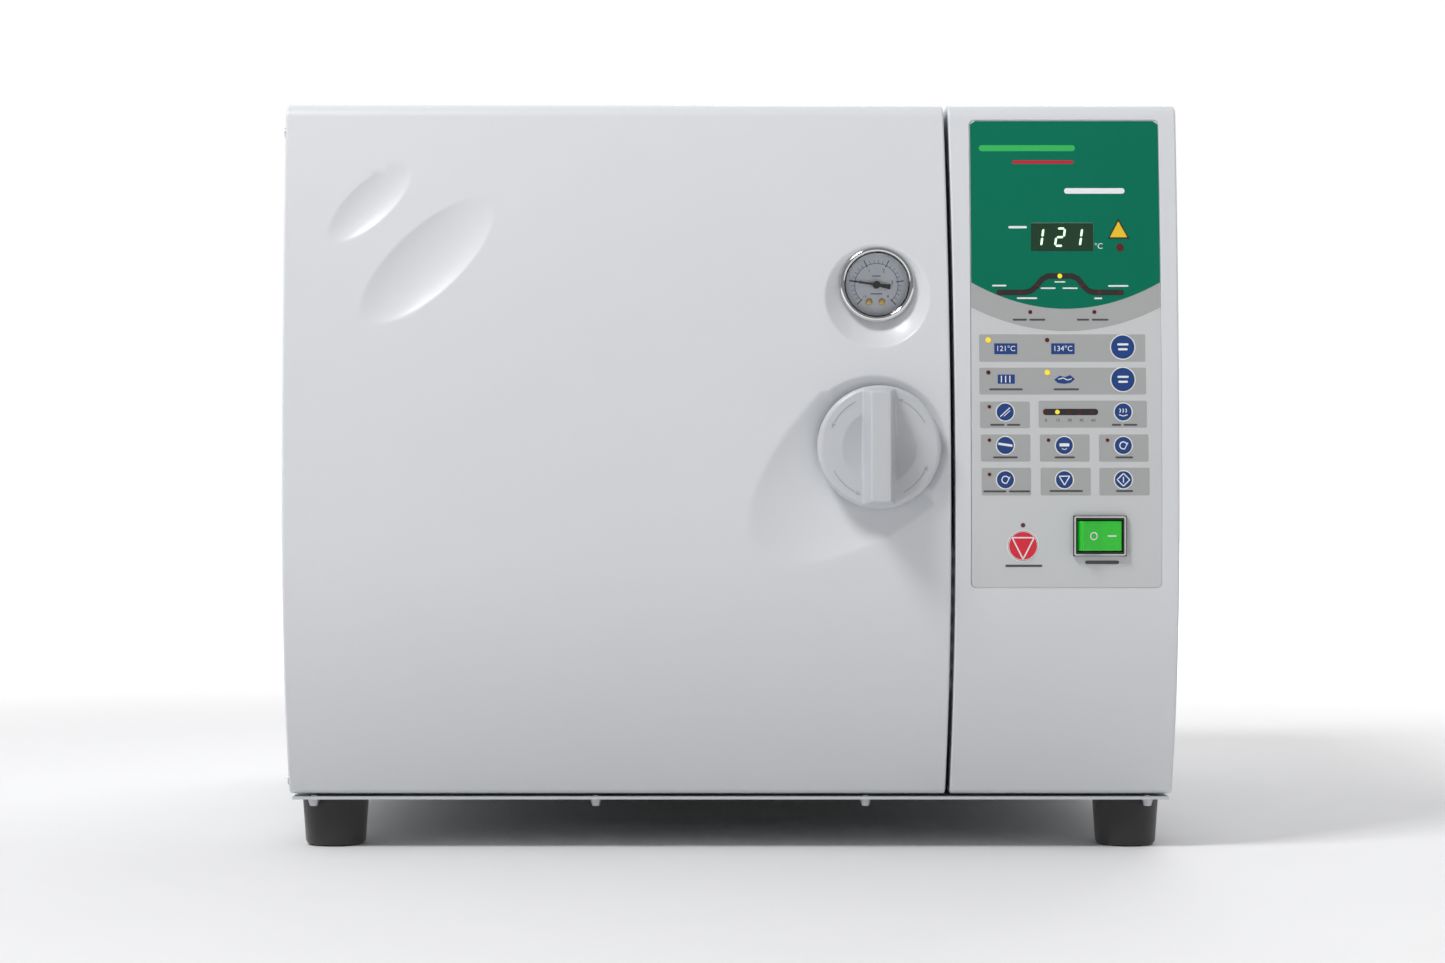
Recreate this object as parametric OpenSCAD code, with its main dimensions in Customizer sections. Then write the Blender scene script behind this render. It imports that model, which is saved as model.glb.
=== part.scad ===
// Benchtop steam autoclave with a hinged front door, a side control console and a round chamber.
// Millimetres. X runs to the right, Y to the back and Z up; the origin is the middle of the footprint.

/* [Cabinet] */
// Width of the cabinet, door and console together
body_w = 510; // [508:1:514]
// Height of the cabinet's top above the table
body_top = 428; // [427:0.5:429]
// Depth from the fullest point of the front to the rear panel
body_d = 560; // [556:1:570]
// Height of the rubber feet
foot_h = 28; // [26:1:30]
// Wall of the moulded covers
shell = 3; // [2.5:0.25:3.25]
// Thickness of the steel sheet
sheet = 1.2; // [1:0.1:1.4]

/* [Front form] */
// Height at which the front is fullest
bulge_z = 183; // [180:1:186]
// Radius of the front above that height
upper_r = 1700; // [1500:50:2000]
// Radius of the front below that height
lower_r = 380; // [360:10:420]
// Rounding of the front's top edge
top_round = 9; // [7:1:10]
// Rounding of the front's bottom edge
low_round = 6; // [4:1:8]
// Place of the seam between the door and the console
seam_x = 126.5; // [125:0.5:127]
// Width of the seam
seam_gap = 2.5; // [2:0.25:3]

/* [Chamber] */
// Inner radius of the chamber
chamber_r = 115; // [113:1:116]
// Place of the chamber's axis across the cabinet
chamber_x = -65; // [-66:1:-64]
// Height of the chamber's axis
chamber_z = 231; // [230:1:232]

/* [Door hardware] */
// Radius of the door knob
knob_r = 35; // [32:1:36]
// Place of the knob across the cabinet
knob_x = 84; // [83:1:85]
// Height of the pressure gauge
gauge_z = 324; // [322:1:326]
// Place of the pressure gauge across the cabinet
gauge_x = 83.5; // [82:0.5:84]
// Radius of the hinge pin
pin_r = 5; // [4.5:0.25:5.25]

/* [Keypad] */
// Travel of a key
key_travel = 0.6; // [0.4:0.1:0.8]
// Radius of the large keys
big_key_r = 6.4; // [6:0.1:6.6]
// Radius of the small keys
small_key_r = 4.6; // [4.2:0.1:4.8]

/* [Hidden] */
$fn = 96;
fine = 256;          // facets of the very large arcs
sweep_sides = 8;

// Planes and edges of the cabinet
half_w = body_w/2;
front = -body_d/2;
rear = body_d/2;
door_low = foot_h + 3;
door_back = front + 55;
fascia_y = door_back + 2;
casing_y = fascia_y + 18;
knob_z = chamber_z;
reach = 30;          // the knob and the rear fittings stand out this far
seam_r = 8600;
slack = 0.3;

// Door hinge
corner_r = 12;
hinge_x = -half_w + corner_r;
hinge_y = door_back - corner_r;
arm_h = 60;
lug_r = 8.5;
lug_h = 14;
fascia_round = 16;
hinge_gap_h = arm_h + 2*lug_h + 14;   // height of the openings that the hinge passes through

// Pressure parts, from front to back
arm_y = front + 24;
arm_t = 14;
plate_y = arm_y + arm_t + 2;
plate_t = 12;
plate_r = 126.5;
gasket_ri = chamber_r - 3;
gasket_ro = chamber_r + 9;
flange_y = door_back + 3;
flange_t = 18.5;
flange_r = 128;
ear_t = 10;
ear_y = flange_y + flange_t - ear_t;
bracket_t = 6;
bracket_y = ear_y - bracket_t;
vessel_t = 2;
vessel_end = 150;
dome_r = 250;
jacket_ri = 120.3;
jacket_ro = 137;
jacket_end = 190;

// Knob and latch
spindle_r = 7;
knob_back = front + 5.2;
knob_face = front - 10;
grip_w = 18;
bulkhead_y = ear_y + ear_t;
latch_y = bulkhead_y + 1.5;
latch_h = 44;
latch_w = 12;
latch_t = 8;
slot_w = 20;
slot_h = 52;
boss_front = front + 19;
boss_back = front + 42;

// Pressure gauge
gauge_bezel_r = 21.6;
gauge_case_r = 20.2;
gauge_front = front + 7.5;
gauge_window_r = 17.8;
gauge_dish_r = 29.7;
gauge_dish_drop = 7;
gauge_zero = 171;    // angle of the zero mark, anticlockwise from +X
pointer_tip = 15.5;

// Keypad panel on the console
panel_x0 = 136.6;
panel_x1 = 245;
panel_z0 = 151;
panel_z1 = 418.5;
panel_round = 3;
pocket = 1.3;        // depth of the panel's pocket
proud = 0.5;         // the panel's face lies this far under the console's face
display_x = 189.1;
display_z = 351;
display_w = 35.4;
display_h = 16;
column = [156, 189.5, 223];
row = [288, 269.5, 251, 232, 212.5];
emergency = [166, 175, 8.3];
board_y = front + 24;
board_t = 1.6;

// Keys: node name, x, z, radius
KEYS = [["key_temperature", column[2], row[0], big_key_r],
    ["key_load", column[2], row[1], big_key_r],
    ["key_pump_test", column[0], row[2], small_key_r],
    ["key_dry_time", column[2], row[2], small_key_r],
    ["key_steam_test", column[0], row[3], small_key_r],
    ["key_redry", column[1], row[3], small_key_r],
    ["key_long_cycle", column[2], row[3], small_key_r],
    ["key_vacuum_release", column[0], row[4], small_key_r],
    ["key_stop", column[1], row[4], small_key_r],
    ["key_start", column[2], row[4], small_key_r],
    ["key_emergency", emergency[0], emergency[1], emergency[2]]];

// Indicator lamps: x, z, radius
lamp_r = 0.95;
LAMPS = concat(
    [[222, 345, 2.2], [166, emergency[1] + 11.7, 1.1]],
    [for (step = [[153.8, 319.1], [165, 319.1], [174.4, 323.2], [187.5, 328.6], [200.6, 323.2], [210, 319.1],
        [221.6, 319.1]]) [step[0], step[1], lamp_r]],
    [for (x = [170.5, 207]) [x, 308, lamp_r + 0.2]],
    [for (x = [146.5, 180]) for (z = [row[0] + 4, row[1] + 4]) [x, z, lamp_r + 0.3]],
    [for (z = [row[2], row[3], row[4]]) [147, z + 3, lamp_r + 0.1]],
    [for (x = [180.5, 214]) [x, row[3] + 3, lamp_r + 0.1]],
    [for (i = [0:4]) [179 + 6.6*i, row[2], lamp_r]]);

// Power switch
switch_x = 209.5;
switch_z = 180.6;
switch_face = front - 2;
rocker_r = 12.6;
rocker_pivot = switch_face + 3.5;
rocker_h = 16.8;
rocker_tilt = 10;
switch_in_w = 25.8;
switch_in_h = 18.2;

// Rear fittings
fan_x = -120;
fan_z = 150;
fan_size = 120;
fan_y = rear - sheet - 25.5;
inlet_x = 200;
inlet_z = 80;
drain_x = -200;
drain_z = 62;
drain_y = rear + 15;
safety_x = 40;
safety_z = 300;
filter_x = 150;
filter_z = 330;

// Water tank
tank_x0 = -240;
tank_x1 = 100;
tank_y0 = -150;
tank_y1 = 150;
tank_z0 = 372;
tank_z1 = 419;
neck_x = -150;
neck_y = 60;
neck_r = 30;
neck_bore_r = 27;
lid_r = 37;
lid_z = body_top + 2.3;
lid_hinge_y = neck_y + 44;
lid_hinge_z = body_top + 5.9;

// Trays
tray_w = 160;
tray_d = 320;
tray_h = 15;
tray_y0 = -198;
tray_floor = [-66, -13, 40];
rack_x = 84;

// ---- Helpers ----
function front_y(z) = z >= bulge_z
    ? front + upper_r - sqrt(pow(upper_r, 2) - pow(z - bulge_z, 2))
    : front + lower_r - sqrt(pow(lower_r, 2) - pow(z - bulge_z, 2));
function seam_at(z) = seam_x - pow(z - bulge_z, 2)/(2*seam_r);

module box(x, y, z) {
    translate([x[0], y[0], z[0]]) cube([x[1] - x[0], y[1] - y[0], z[1] - z[0]]);
}

module rod_y(x, z, r, y0, y1, r2 = undef) {
    translate([x, y0, z]) rotate([-90, 0, 0]) cylinder(r1 = r, r2 = is_undef(r2) ? r : r2, h = y1 - y0);
}

module rod_x(y, z, r, x0, x1) {
    translate([x0, y, z]) rotate([0, 90, 0]) cylinder(r = r, h = x1 - x0);
}

module rod_z(x, y, r, z0, z1) {
    translate([x, y, z0]) cylinder(r = r, h = z1 - z0);
}

module along_x(x0, x1) {
    translate([x0, 0, 0]) rotate([90, 0, 90]) linear_extrude(x1 - x0) children();
}

module along_y(y0, y1) {
    translate([0, y1, 0]) rotate([90, 0, 0]) linear_extrude(y1 - y0) children();
}

module rounded_rect(x, y, r) {
    translate([x[0] + r, y[0]]) square([x[1] - x[0] - 2*r, y[1] - y[0]]);
    translate([x[0], y[0] + r]) square([x[1] - x[0], y[1] - y[0] - 2*r]);
    for (cx = [x[0] + r, x[1] - r]) for (cy = [y[0] + r, y[1] - r]) translate([cx, cy]) circle(r, $fn = 32);
}

// Puts its children on the front face at a height: local -Y points straight out of it
module on_front(x, z) {
    r = z > bulge_z ? upper_r : lower_r;
    translate([x, front_y(z), z]) rotate([-asin((z - bulge_z)/r), 0, 0]) children();
}

// Side outline of the front, as (y, z): everything behind a face that lies inset behind the outer face
module front_outline(inset, y_back, z_low, z_top) {
    intersection() {
        union() {
            intersection() {
                translate([front + upper_r, bulge_z]) circle(upper_r - inset, $fn = fine);
                translate([front - 5, bulge_z]) square([body_d, z_top - bulge_z]);
            }
            intersection() {
                translate([front + lower_r, bulge_z]) circle(lower_r - inset, $fn = fine);
                translate([front - 5, z_low]) square([lower_r, bulge_z - z_low]);
            }
        }
        translate([front - 5, z_low - 1]) square([y_back - front + 5, z_top - z_low + 2]);
    }
}

// Waste outside the rounded top or bottom edge of that outline
module edge_waste(inset, z_end, r, face_r, side) {
    o = [front + face_r, bulge_z];
    z_c = z_end - side*r;
    c = [o[0] - sqrt(pow(face_r - inset - r, 2) - pow(z_c - bulge_z, 2)), z_c];
    difference() {
        polygon([c, c + 40*(c - o)/norm(c - o), c + [-60, 40*side], c + [0, 40*side]]);
        translate(c) circle(r);
    }
}

module edge_rounding(inset, x0, x1) {
    along_x(x0, x1) {
        edge_waste(inset, body_top - inset, top_round - inset, upper_r, 1);
        edge_waste(inset, door_low + inset, max(low_round - inset, 1), lower_r, -1);
    }
}

// Everything to the left of the curved seam
module seam_side(x) {
    along_y(front - 20, casing_y + 5) intersection() {
        translate([x - seam_r, bulge_z]) rotate(180) circle(seam_r, $fn = fine);
        translate([-half_w - 5, 0]) square([half_w + x + 10, body_top + 10]);
    }
}

// Shallow leaf-shaped hollow: a surface of revolution about an axis above the face
module leaf(length, width, depth, turn, grow = 0) {
    axis_h = (pow(width/2, 2) - pow(depth, 2))/(2*depth);
    big = axis_h + depth + grow;
    arc_r = (pow(length/2, 2) + pow(depth, 2))/(2*depth) + grow;
    half = length/2 + grow;
    translate([0, -axis_h, 0]) rotate([0, 90 - turn, 0]) rotate_extrude() intersection() {
        translate([big - arc_r, 0]) circle(arc_r, $fn = fine);
        translate([0, -half]) square([big + 1, 2*half]);
    }
}

// Round dish: a ball that cuts the face in a circle of radius r
module dish(r, depth, grow = 0) {
    ball = (r*r + depth*depth)/(2*depth);
    translate([0, depth - ball, 0]) sphere(ball + grow, $fn = 128);
}

// Tube of radius r swept along points
module sweep(points, r) {
    n = len(points);
    rings = [for (i = [0:n - 1]) let (
        t = points[min(i + 1, n - 1)] - points[max(i - 1, 0)],
        dir = t/norm(t),
        ref = abs(dir[2]) < 0.9 ? [0, 0, 1] : [0, 1, 0],
        u = cross(dir, ref)/norm(cross(dir, ref)),
        v = cross(dir, u)
    ) [for (k = [0:sweep_sides - 1]) points[i] + r*(u*cos(360*k/sweep_sides) + v*sin(360*k/sweep_sides))]];
    pts = [for (ring = rings) for (p = ring) p];
    side = [for (i = [0:n - 2]) for (k = [0:sweep_sides - 1]) let (m = (k + 1) % sweep_sides)
        [i*sweep_sides + k, i*sweep_sides + m, (i + 1)*sweep_sides + m, (i + 1)*sweep_sides + k]];
    first = [for (k = [sweep_sides - 1:-1:0]) k];
    last = [for (k = [0:sweep_sides - 1]) (n - 1)*sweep_sides + k];
    polyhedron(pts, concat(side, [first], [last]));
}

module pan_screw_x(x, y, z, dir) {
    rod_x(y, z, 3.8, dir > 0 ? x : x - 2.6, dir > 0 ? x + 2.6 : x);
}

// ---- Cabinet ----
module base_chassis() {
    color("silver") difference() {
        union() {
            box([-half_w + 2, half_w - 2], [front + 30, rear - 2], [foot_h, foot_h + 1.5]);
            for (s = [-1, 1]) box([s*(half_w - 2.2) - 0.7, s*(half_w - 2.2) + 0.7], [casing_y + 2, rear - 2],
                [foot_h, foot_h + 32]);
            box([-half_w + 2, half_w - 2], [bulkhead_y, bulkhead_y + 2], [foot_h, foot_h + 32]);
            difference() {
                box([-half_w + 8, 120], [bulkhead_y, bulkhead_y + 2], [foot_h, 366]);
                rod_y(chamber_x, chamber_z, 123, bulkhead_y - 5, bulkhead_y + 5);
                box([56, 112], [bulkhead_y - 1, bulkhead_y + 3], [knob_z - 30, knob_z + 30]);
            }
            box([-half_w + 2, half_w - 2], [rear - 3.5, rear - 2], [foot_h, foot_h + 12]);
            for (y = [-130, 120]) difference() {
                box([chamber_x - 90, chamber_x + 90], [y, y + 2], [foot_h, foot_h + 100]);
                rod_y(chamber_x, chamber_z, jacket_ro, y - 1, y + 3);
            }
        }
        for (p = FOOT_PLACES) rod_z(p[0], p[1], 2.7, foot_h - 1, foot_h + 3);
        for (x = FRONT_SCREWS) rod_z(x, front_screw_y, 2.2, foot_h - 1, foot_h + 3);
        for (x = [-60:20:60]) for (y = [-100, 0, 100])
            box([x - 4, x + 4], [y - 25, y + 25], [foot_h - 1, foot_h + 3]);
    }
}

FOOT_PLACES = [for (x = [-231, 231]) for (y = [front + 57, rear - 42]) [x, y]];
FRONT_SCREWS = [-241, -78, 78, 241];
front_screw_y = front + 35;

module rubber_feet() {
    color([0.2, 0.19, 0.19]) for (p = FOOT_PLACES) difference() {
        translate([p[0], p[1], 0]) cylinder(r1 = 17.3, r2 = 19.3, h = foot_h);
        rod_z(p[0], p[1], 2.6, -1, foot_h + 1);
        rod_z(p[0], p[1], 7, -1, 9);
    }
}

module chassis_screws() {
    color("gray") {
        for (p = FOOT_PLACES) {
            rod_z(p[0], p[1], 2.5, 8, foot_h + 2.6);
            rod_z(p[0], p[1], 5, 5, 9);
        }
        for (x = FRONT_SCREWS) {
            rod_z(x, front_screw_y, 2, foot_h - 2, foot_h + 2.2);
            translate([x, front_screw_y, foot_h - 4]) cylinder(r1 = 2.4, r2 = 3.6, h = 4);
        }
        for (s = [-1, 1]) for (y = [-180, 40, 255]) pan_screw_x(s*half_w, y, foot_h + 18, s);
        for (s = [-1, 1]) for (z = [70, 240, 410]) rod_y(s*(half_w - 8), z, 3.8, rear, rear + 2.4);
    }
}

module outer_casing() {
    bend = 7;
    color("whitesmoke") difference() {
        along_y(casing_y, rear - 1.4) difference() {
            intersection() {
                rounded_rect([-half_w, half_w], [door_low - 20, body_top], bend);
                translate([-half_w, door_low]) square([body_w, body_top]);
            }
            intersection() {
                rounded_rect([-half_w + sheet, half_w - sheet], [door_low - 20, body_top - sheet],
                    bend - sheet);
                translate([-half_w, door_low - 5]) square([body_w, body_top]);
            }
        }
        for (s = [-1, 1]) for (y = [60, 160]) for (i = [0:9]) translate([s*half_w, y, 90 + 12*i])
            rotate([0, 90, 0]) linear_extrude(10, center = true) rounded_rect([-2, 2], [0, 70], 1.99);
        rod_z(neck_x, neck_y, neck_r + 1, body_top - 5, body_top + 5);
    }
}

module rear_panel() {
    color("whitesmoke") difference() {
        box([-half_w + 0.5, half_w - 0.5], [rear - sheet, rear], [door_low - 1, body_top - 0.5]);
        for (i = [-5:5]) for (j = [-5:5]) if (norm([i + (j % 2 == 0 ? 0 : 0.5), j*0.87]) < 5.1)
            rod_y(fan_x + 10*(i + (j % 2 == 0 ? 0 : 0.5)), fan_z + 8.7*j, 3.6, rear - 5, rear + 5, 3.6);
        for (i = [0:7]) translate([60, rear - 5, 60 + 14*i]) rotate([-90, 0, 0]) linear_extrude(10)
            rounded_rect([0, 80], [-2.5, 2.5], 2.4);
        box([inlet_x - 16, inlet_x + 16], [rear - 5, rear + 5], [inlet_z - 12, inlet_z + 12]);
        rod_y(drain_x, drain_z, 8, rear - 5, rear + 5);
        rod_y(safety_x, safety_z, 8, rear - 5, rear + 5);
        rod_y(filter_x, filter_z, 5.5, rear - 5, rear + 5);
    }
}

module front_fascia() {
    color("white") difference() {
        fascia_block(0);
        translate([0, shell, 0]) fascia_block(shell);
        rod_y(chamber_x, chamber_z, flange_r + 1, fascia_y - 5, casing_y + 5);
        box([knob_x - slot_w/2 - 4, knob_x + slot_w/2 + 4], [fascia_y - 5, fascia_y + 5],
            [knob_z - slot_h/2 - 4, knob_z + slot_h/2 + 4]);
        box([-half_w - 1, hinge_x + 15], [fascia_y - 1, casing_y + 1],
            [chamber_z - hinge_gap_h/2, chamber_z + hinge_gap_h/2]);
    }
}

module fascia_block(inset) {
    x0 = -half_w + inset;
    x1 = seam_x - 3 - inset;
    r = fascia_round - inset;
    z = [door_low + inset, body_top - inset];
    translate([0, 0, z[0]]) linear_extrude(z[1] - z[0]) {
        translate([x0 + r, fascia_y]) square([x1 - x0 - r, casing_y - fascia_y]);
        intersection() {
            translate([x0 + r, fascia_y + r]) circle(r);
            translate([x0, fascia_y]) square([2*r, casing_y - fascia_y]);
        }
    }
}

// ---- Console ----
module console_block(inset, y_back) {
    difference() {
        along_x(seam_x - 10, half_w - inset) front_outline(inset, y_back, door_low + inset, body_top - inset);
        seam_side(seam_x + seam_gap/2 + inset);
        edge_rounding(inset, seam_x - 15, half_w + 1);
    }
}

// Slice of the front's skin between two depths
module skin(d0, d1, x, z) {
    intersection() {
        along_x(x[0], x[1]) difference() {
            front_outline(d0, door_back, door_low, body_top);
            front_outline(d1, door_back + 1, door_low - 1, body_top + 1);
        }
        along_y(front - 10, door_back) rounded_rect(x, z, panel_round);
    }
}

module console_housing() {
    color("whitesmoke") difference() {
        console_block(0, casing_y);
        difference() {
            console_block(shell, casing_y + 1);
            for (p = BOARD_POSTS) rod_y(p[0], p[1], 3.2, front, board_y);
        }
        for (p = BOARD_POSTS) rod_y(p[0], p[1], 1.2, board_y - 4, board_y + 1);
        skin(-3, pocket, [panel_x0, panel_x1], [panel_z0, panel_z1]);
        for (k = KEYS) rod_y(k[1], k[2], k[3] + 0.5, front - 5, door_back);
        on_front(display_x, display_z) box([-display_w/2 - 0.2, display_w/2 + 0.2], [-5, 12],
            [-display_h/2 - 0.2, display_h/2 + 0.2]);
        box([switch_x - 14.2, switch_x + 14.2], [front - 5, door_back], [switch_z - 10.7, switch_z + 10.7]);
    }
}

BOARD_POSTS = [for (x = [140, 243]) for (z = [202, 408]) [x, z]];

module keypad_overlay() {
    color([0.75, 0.77, 0.78]) difference() {
        skin(proud, pocket, [panel_x0 + 0.2, panel_x1 - 0.2], [panel_z0 + 0.2, panel_z1 - 0.2]);
        for (k = KEYS) rod_y(k[1], k[2], k[3] + 0.25, front - 5, door_back);
        for (l = LAMPS) on_front(l[0], l[1]) rod_y(0, 0, l[2] + 0.05, -3, 3);
        on_front(display_x, display_z) box([-display_w/2 - 0.1, display_w/2 + 0.1], [-3, 5],
            [-display_h/2 - 0.1, display_h/2 + 0.1]);
        box([switch_x - 14.1, switch_x + 14.1], [front - 5, door_back], [switch_z - 10.6, switch_z + 10.6]);
    }
}

module display_window() {
    color([0.05, 0.2, 0.08, 0.9]) on_front(display_x, display_z) box([-display_w/2, display_w/2], [0.7, 8],
        [-display_h/2, display_h/2]);
}

module indicator_lamps() {
    color("darkred") for (l = LAMPS) on_front(l[0], l[1]) rod_y(0, 0, l[2], 0.25, 1.25);
}

module switch_frame() {
    color([0.06, 0.06, 0.07]) difference() {
        union() {
            box([switch_x - 15, switch_x + 15], [switch_face, front + proud],
                [switch_z - 11.5, switch_z + 11.5]);
            box([switch_x - 14, switch_x + 14], [front, front + 22], [switch_z - 10.5, switch_z + 10.5]);
        }
        box([switch_x - switch_in_w/2, switch_x + switch_in_w/2], [switch_face - 1, front + 17],
            [switch_z - switch_in_h/2, switch_z + switch_in_h/2]);
    }
}

module power_rocker() {
    color([0.02, 0.72, 0.1]) translate([switch_x, rocker_pivot, switch_z - rocker_h/2])
        rotate([0, 0, rocker_tilt]) linear_extrude(rocker_h) intersection() {
            circle(rocker_r);
            polygon([[-13, 8], [13, 8], [13, -6.2], [0, -4.4], [-13, -6.2]]);
        }
}

module key(index) {
    k = KEYS[index];
    face = front_y(k[2]);
    color(index == 10 ? "crimson" : "royalblue") {
        intersection() {
            rod_y(k[1], k[2], k[3], face - 3, face + 3.5);
            on_front(k[1], k[2]) box([-12, 12], [0.15, 2.6], [-12, 12]);
        }
        rod_y(k[1], k[2], 2, face + 1.5, board_y - key_travel - 0.4);
    }
}

module control_board() {
    color("darkgreen") {
        difference() {
            union() {
                box([134, 249], [board_y, board_y + board_t], [196, 414]);
                box([150, 182], [board_y, board_y + board_t], [165, 196]);
            }
            for (p = BOARD_POSTS) rod_y(p[0], p[1], 1.3, board_y - 1, board_y + 5);
        }
        for (x = [145, 175, 205]) box([x, x + 22], [board_y + board_t, board_y + 17], [380, 398]);
        box([150, 232], [board_y + board_t, board_y + 10], [330, 352]);
        for (x = [150:18:222]) rod_y(x, 300, 6, board_y + board_t, board_y + 20);
    }
}

// ---- Pressure vessel ----
module around_chamber() {
    translate([chamber_x, 0, chamber_z]) rotate([-90, 0, 0]) rotate_extrude($fn = 180) children();
}

module tube_outline(ri, ro, y0, y1) {
    translate([ri, y0]) square([ro - ri, y1 - y0]);
}

module chamber_vessel() {
    cap_y = vessel_end - sqrt(pow(dome_r, 2) - pow(chamber_r, 2));
    color("lightsteelblue") difference() {
        union() {
            around_chamber() {
                tube_outline(chamber_r, chamber_r + vessel_t, flange_y + flange_t, vessel_end);
                intersection() {
                    difference() {
                        translate([0, cap_y]) circle(dome_r + vessel_t, $fn = fine);
                        translate([0, cap_y]) circle(dome_r, $fn = fine);
                    }
                    translate([0, vessel_end - 0.5]) square([chamber_r + vessel_t, 60]);
                }
            }
            for (s = [-1, 1]) rod_y(chamber_x, chamber_z + 14*s, 7, 175, 198);
        }
        for (s = [-1, 1]) rod_y(chamber_x, chamber_z + 14*s, 4.1, 160, 200);
    }
}

module chamber_flange() {
    color("silver") difference() {
        union() {
            around_chamber() tube_outline(chamber_r, flange_r, flange_y, flange_y + flange_t);
            box([-half_w + 7, chamber_x - 90], [ear_y, ear_y + ear_t], [chamber_z - 50, chamber_z + 50]);
            box([chamber_x + 105, knob_x + 30], [ear_y, ear_y + ear_t], [chamber_z - 40, chamber_z + 40]);
            box([flange_r + chamber_x + 1.5, knob_x + 28], [bracket_y, ear_y],
                [chamber_z - 40, chamber_z + 40]);
        }
        rod_y(chamber_x, chamber_z, chamber_r, flange_y - 5, flange_y + 40);
        box([knob_x - slot_w/2, knob_x + slot_w/2], [bracket_y - 5, ear_y + 20],
            [knob_z - slot_h/2, knob_z + slot_h/2]);
    }
}

module hinge_bracket() {
    color("dimgray") difference() {
        union() {
            box([-half_w + 3, chamber_x - flange_r - 4], [bracket_y, ear_y],
                [chamber_z - 44, chamber_z + 44]);
            for (z = LUG_Z) {
                rod_z(hinge_x, hinge_y, lug_r, z, z + lug_h);
                box([hinge_x - lug_r, hinge_x + lug_r], [hinge_y, ear_y], [z, z + lug_h]);
            }
        }
        rod_z(hinge_x, hinge_y, pin_r, chamber_z - 80, chamber_z + 80);
    }
}

LUG_Z = [chamber_z + arm_h/2 + slack, chamber_z - arm_h/2 - slack - lug_h];

module hinge_pin() {
    color("silver") {
        rod_z(hinge_x, hinge_y, pin_r, LUG_Z[1] - 2, LUG_Z[0] + lug_h);
        rod_z(hinge_x, hinge_y, 7.5, LUG_Z[0] + lug_h, LUG_Z[0] + lug_h + 2.5);
    }
}

module insulation_jacket() {
    color("lightgray") around_chamber() {
        tube_outline(jacket_ri, jacket_ro, casing_y + 12, jacket_end);
        tube_outline(30, jacket_ro, jacket_end - 8, jacket_end);
    }
}

module heater_bands() {
    color("gray") for (y = [-120, 0, 90]) around_chamber() tube_outline(chamber_r + vessel_t, 120, y, y + 50);
}

module tray_rack() {
    color("silver") {
        for (s = [-1, 1]) {
            box([chamber_x + s*rack_x - 0.75, chamber_x + s*rack_x + 0.75], [tray_y0, tray_y0 + tray_d],
                [chamber_z - 77, chamber_z + 62]);
            for (z = tray_floor) box([chamber_x + s*(rack_x - 3.75) - 3, chamber_x + s*(rack_x - 3.75) + 3],
                [tray_y0, tray_y0 + tray_d], [chamber_z + z - 1.5, chamber_z + z]);
        }
        for (y = [tray_y0 + 5, tray_y0 + tray_d - 15])
            box([chamber_x - rack_x, chamber_x + rack_x], [y, y + 10], [chamber_z - 77, chamber_z - 75.5]);
    }
}

module trays() {
    color("gainsboro") for (z = tray_floor) difference() {
        box([chamber_x - tray_w/2, chamber_x + tray_w/2], [tray_y0, tray_y0 + tray_d],
            [chamber_z + z, chamber_z + z + tray_h]);
        box([chamber_x - tray_w/2 + 1, chamber_x + tray_w/2 - 1], [tray_y0 + 1, tray_y0 + tray_d - 1],
            [chamber_z + z + 1, chamber_z + z + tray_h + 1]);
        for (i = [-2:2]) for (j = [0:7]) rod_z(chamber_x + 28*i, tray_y0 + 20 + 40*j, 5, chamber_z + z - 1,
            chamber_z + z + 2);
    }
}

// ---- Inside the cabinet ----
module water_tank() {
    color([0.85, 0.9, 0.95]) difference() {
        union() {
            box([tank_x0, tank_x1], [tank_y0, tank_y1], [tank_z0, tank_z1]);
            rod_z(neck_x, neck_y, neck_r, tank_z1 - 1, body_top + 2);
            rod_z(neck_x, neck_y, lid_r, body_top + 0.2, body_top + 2);
            box([neck_x - 14, neck_x + 14], [neck_y + 30, lid_hinge_y + 4], [body_top + 0.2, body_top + 1.6]);
            for (s = [-1, 1]) box([neck_x + s*11 - 3, neck_x + s*11 + 3],
                [neck_y + lid_r + 1.5, lid_hinge_y + 4], [body_top + 0.2, lid_hinge_z + 4]);
        }
        box([tank_x0 + 3, tank_x1 - 3], [tank_y0 + 3, tank_y1 - 3], [tank_z0 + 3, tank_z1 - 3]);
        rod_z(neck_x, neck_y, neck_bore_r, tank_z1 - 10, body_top + 20);
        rod_z(neck_x, neck_y, lid_r + 1, body_top + 2, body_top + 20);
        rod_x(lid_hinge_y, lid_hinge_z, 2.05, neck_x - 20, neck_x + 20);
    }
}

module filler_lid() {
    color("white") {
        rod_z(neck_x, neck_y, lid_r, lid_z, lid_z + 4.5);
        rod_z(neck_x, neck_y, neck_bore_r - 1, lid_z - 5, lid_z);
        box([neck_x - 7.5, neck_x + 7.5], [neck_y + 30, lid_hinge_y], [lid_z, lid_z + 4.5]);
        rod_x(lid_hinge_y, lid_hinge_z, 3.6, neck_x - 7.5, neck_x + 7.5);
        rod_x(lid_hinge_y, lid_hinge_z, 2, neck_x - 13, neck_x + 13);
        box([neck_x - 12, neck_x + 12], [neck_y - lid_r - 4, neck_y - lid_r + 6], [lid_z + 1, lid_z + 4]);
    }
}

module power_supply() {
    color("darkgray") difference() {
        box([145, 245], [-110, 30], [foot_h + 2, foot_h + 52]);
        box([147, 243], [-108, 28], [foot_h + 4, foot_h + 50]);
        for (i = [0:8]) for (j = [0:3]) rod_z(157 + 10*i, -80 + 25*j, 3, foot_h + 40, foot_h + 60);
    }
}

module vacuum_pump() {
    color("dimgray") {
        rod_y(195, 92, 36, 60, 150);
        box([160, 230], [66, 144], [foot_h + 2, 62]);
        box([165, 225], [150, 196], [62, 122]);
        for (s = [-1, 1]) rod_y(195 + 14*s, 110, 5, 196, 210);
    }
}

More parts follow.
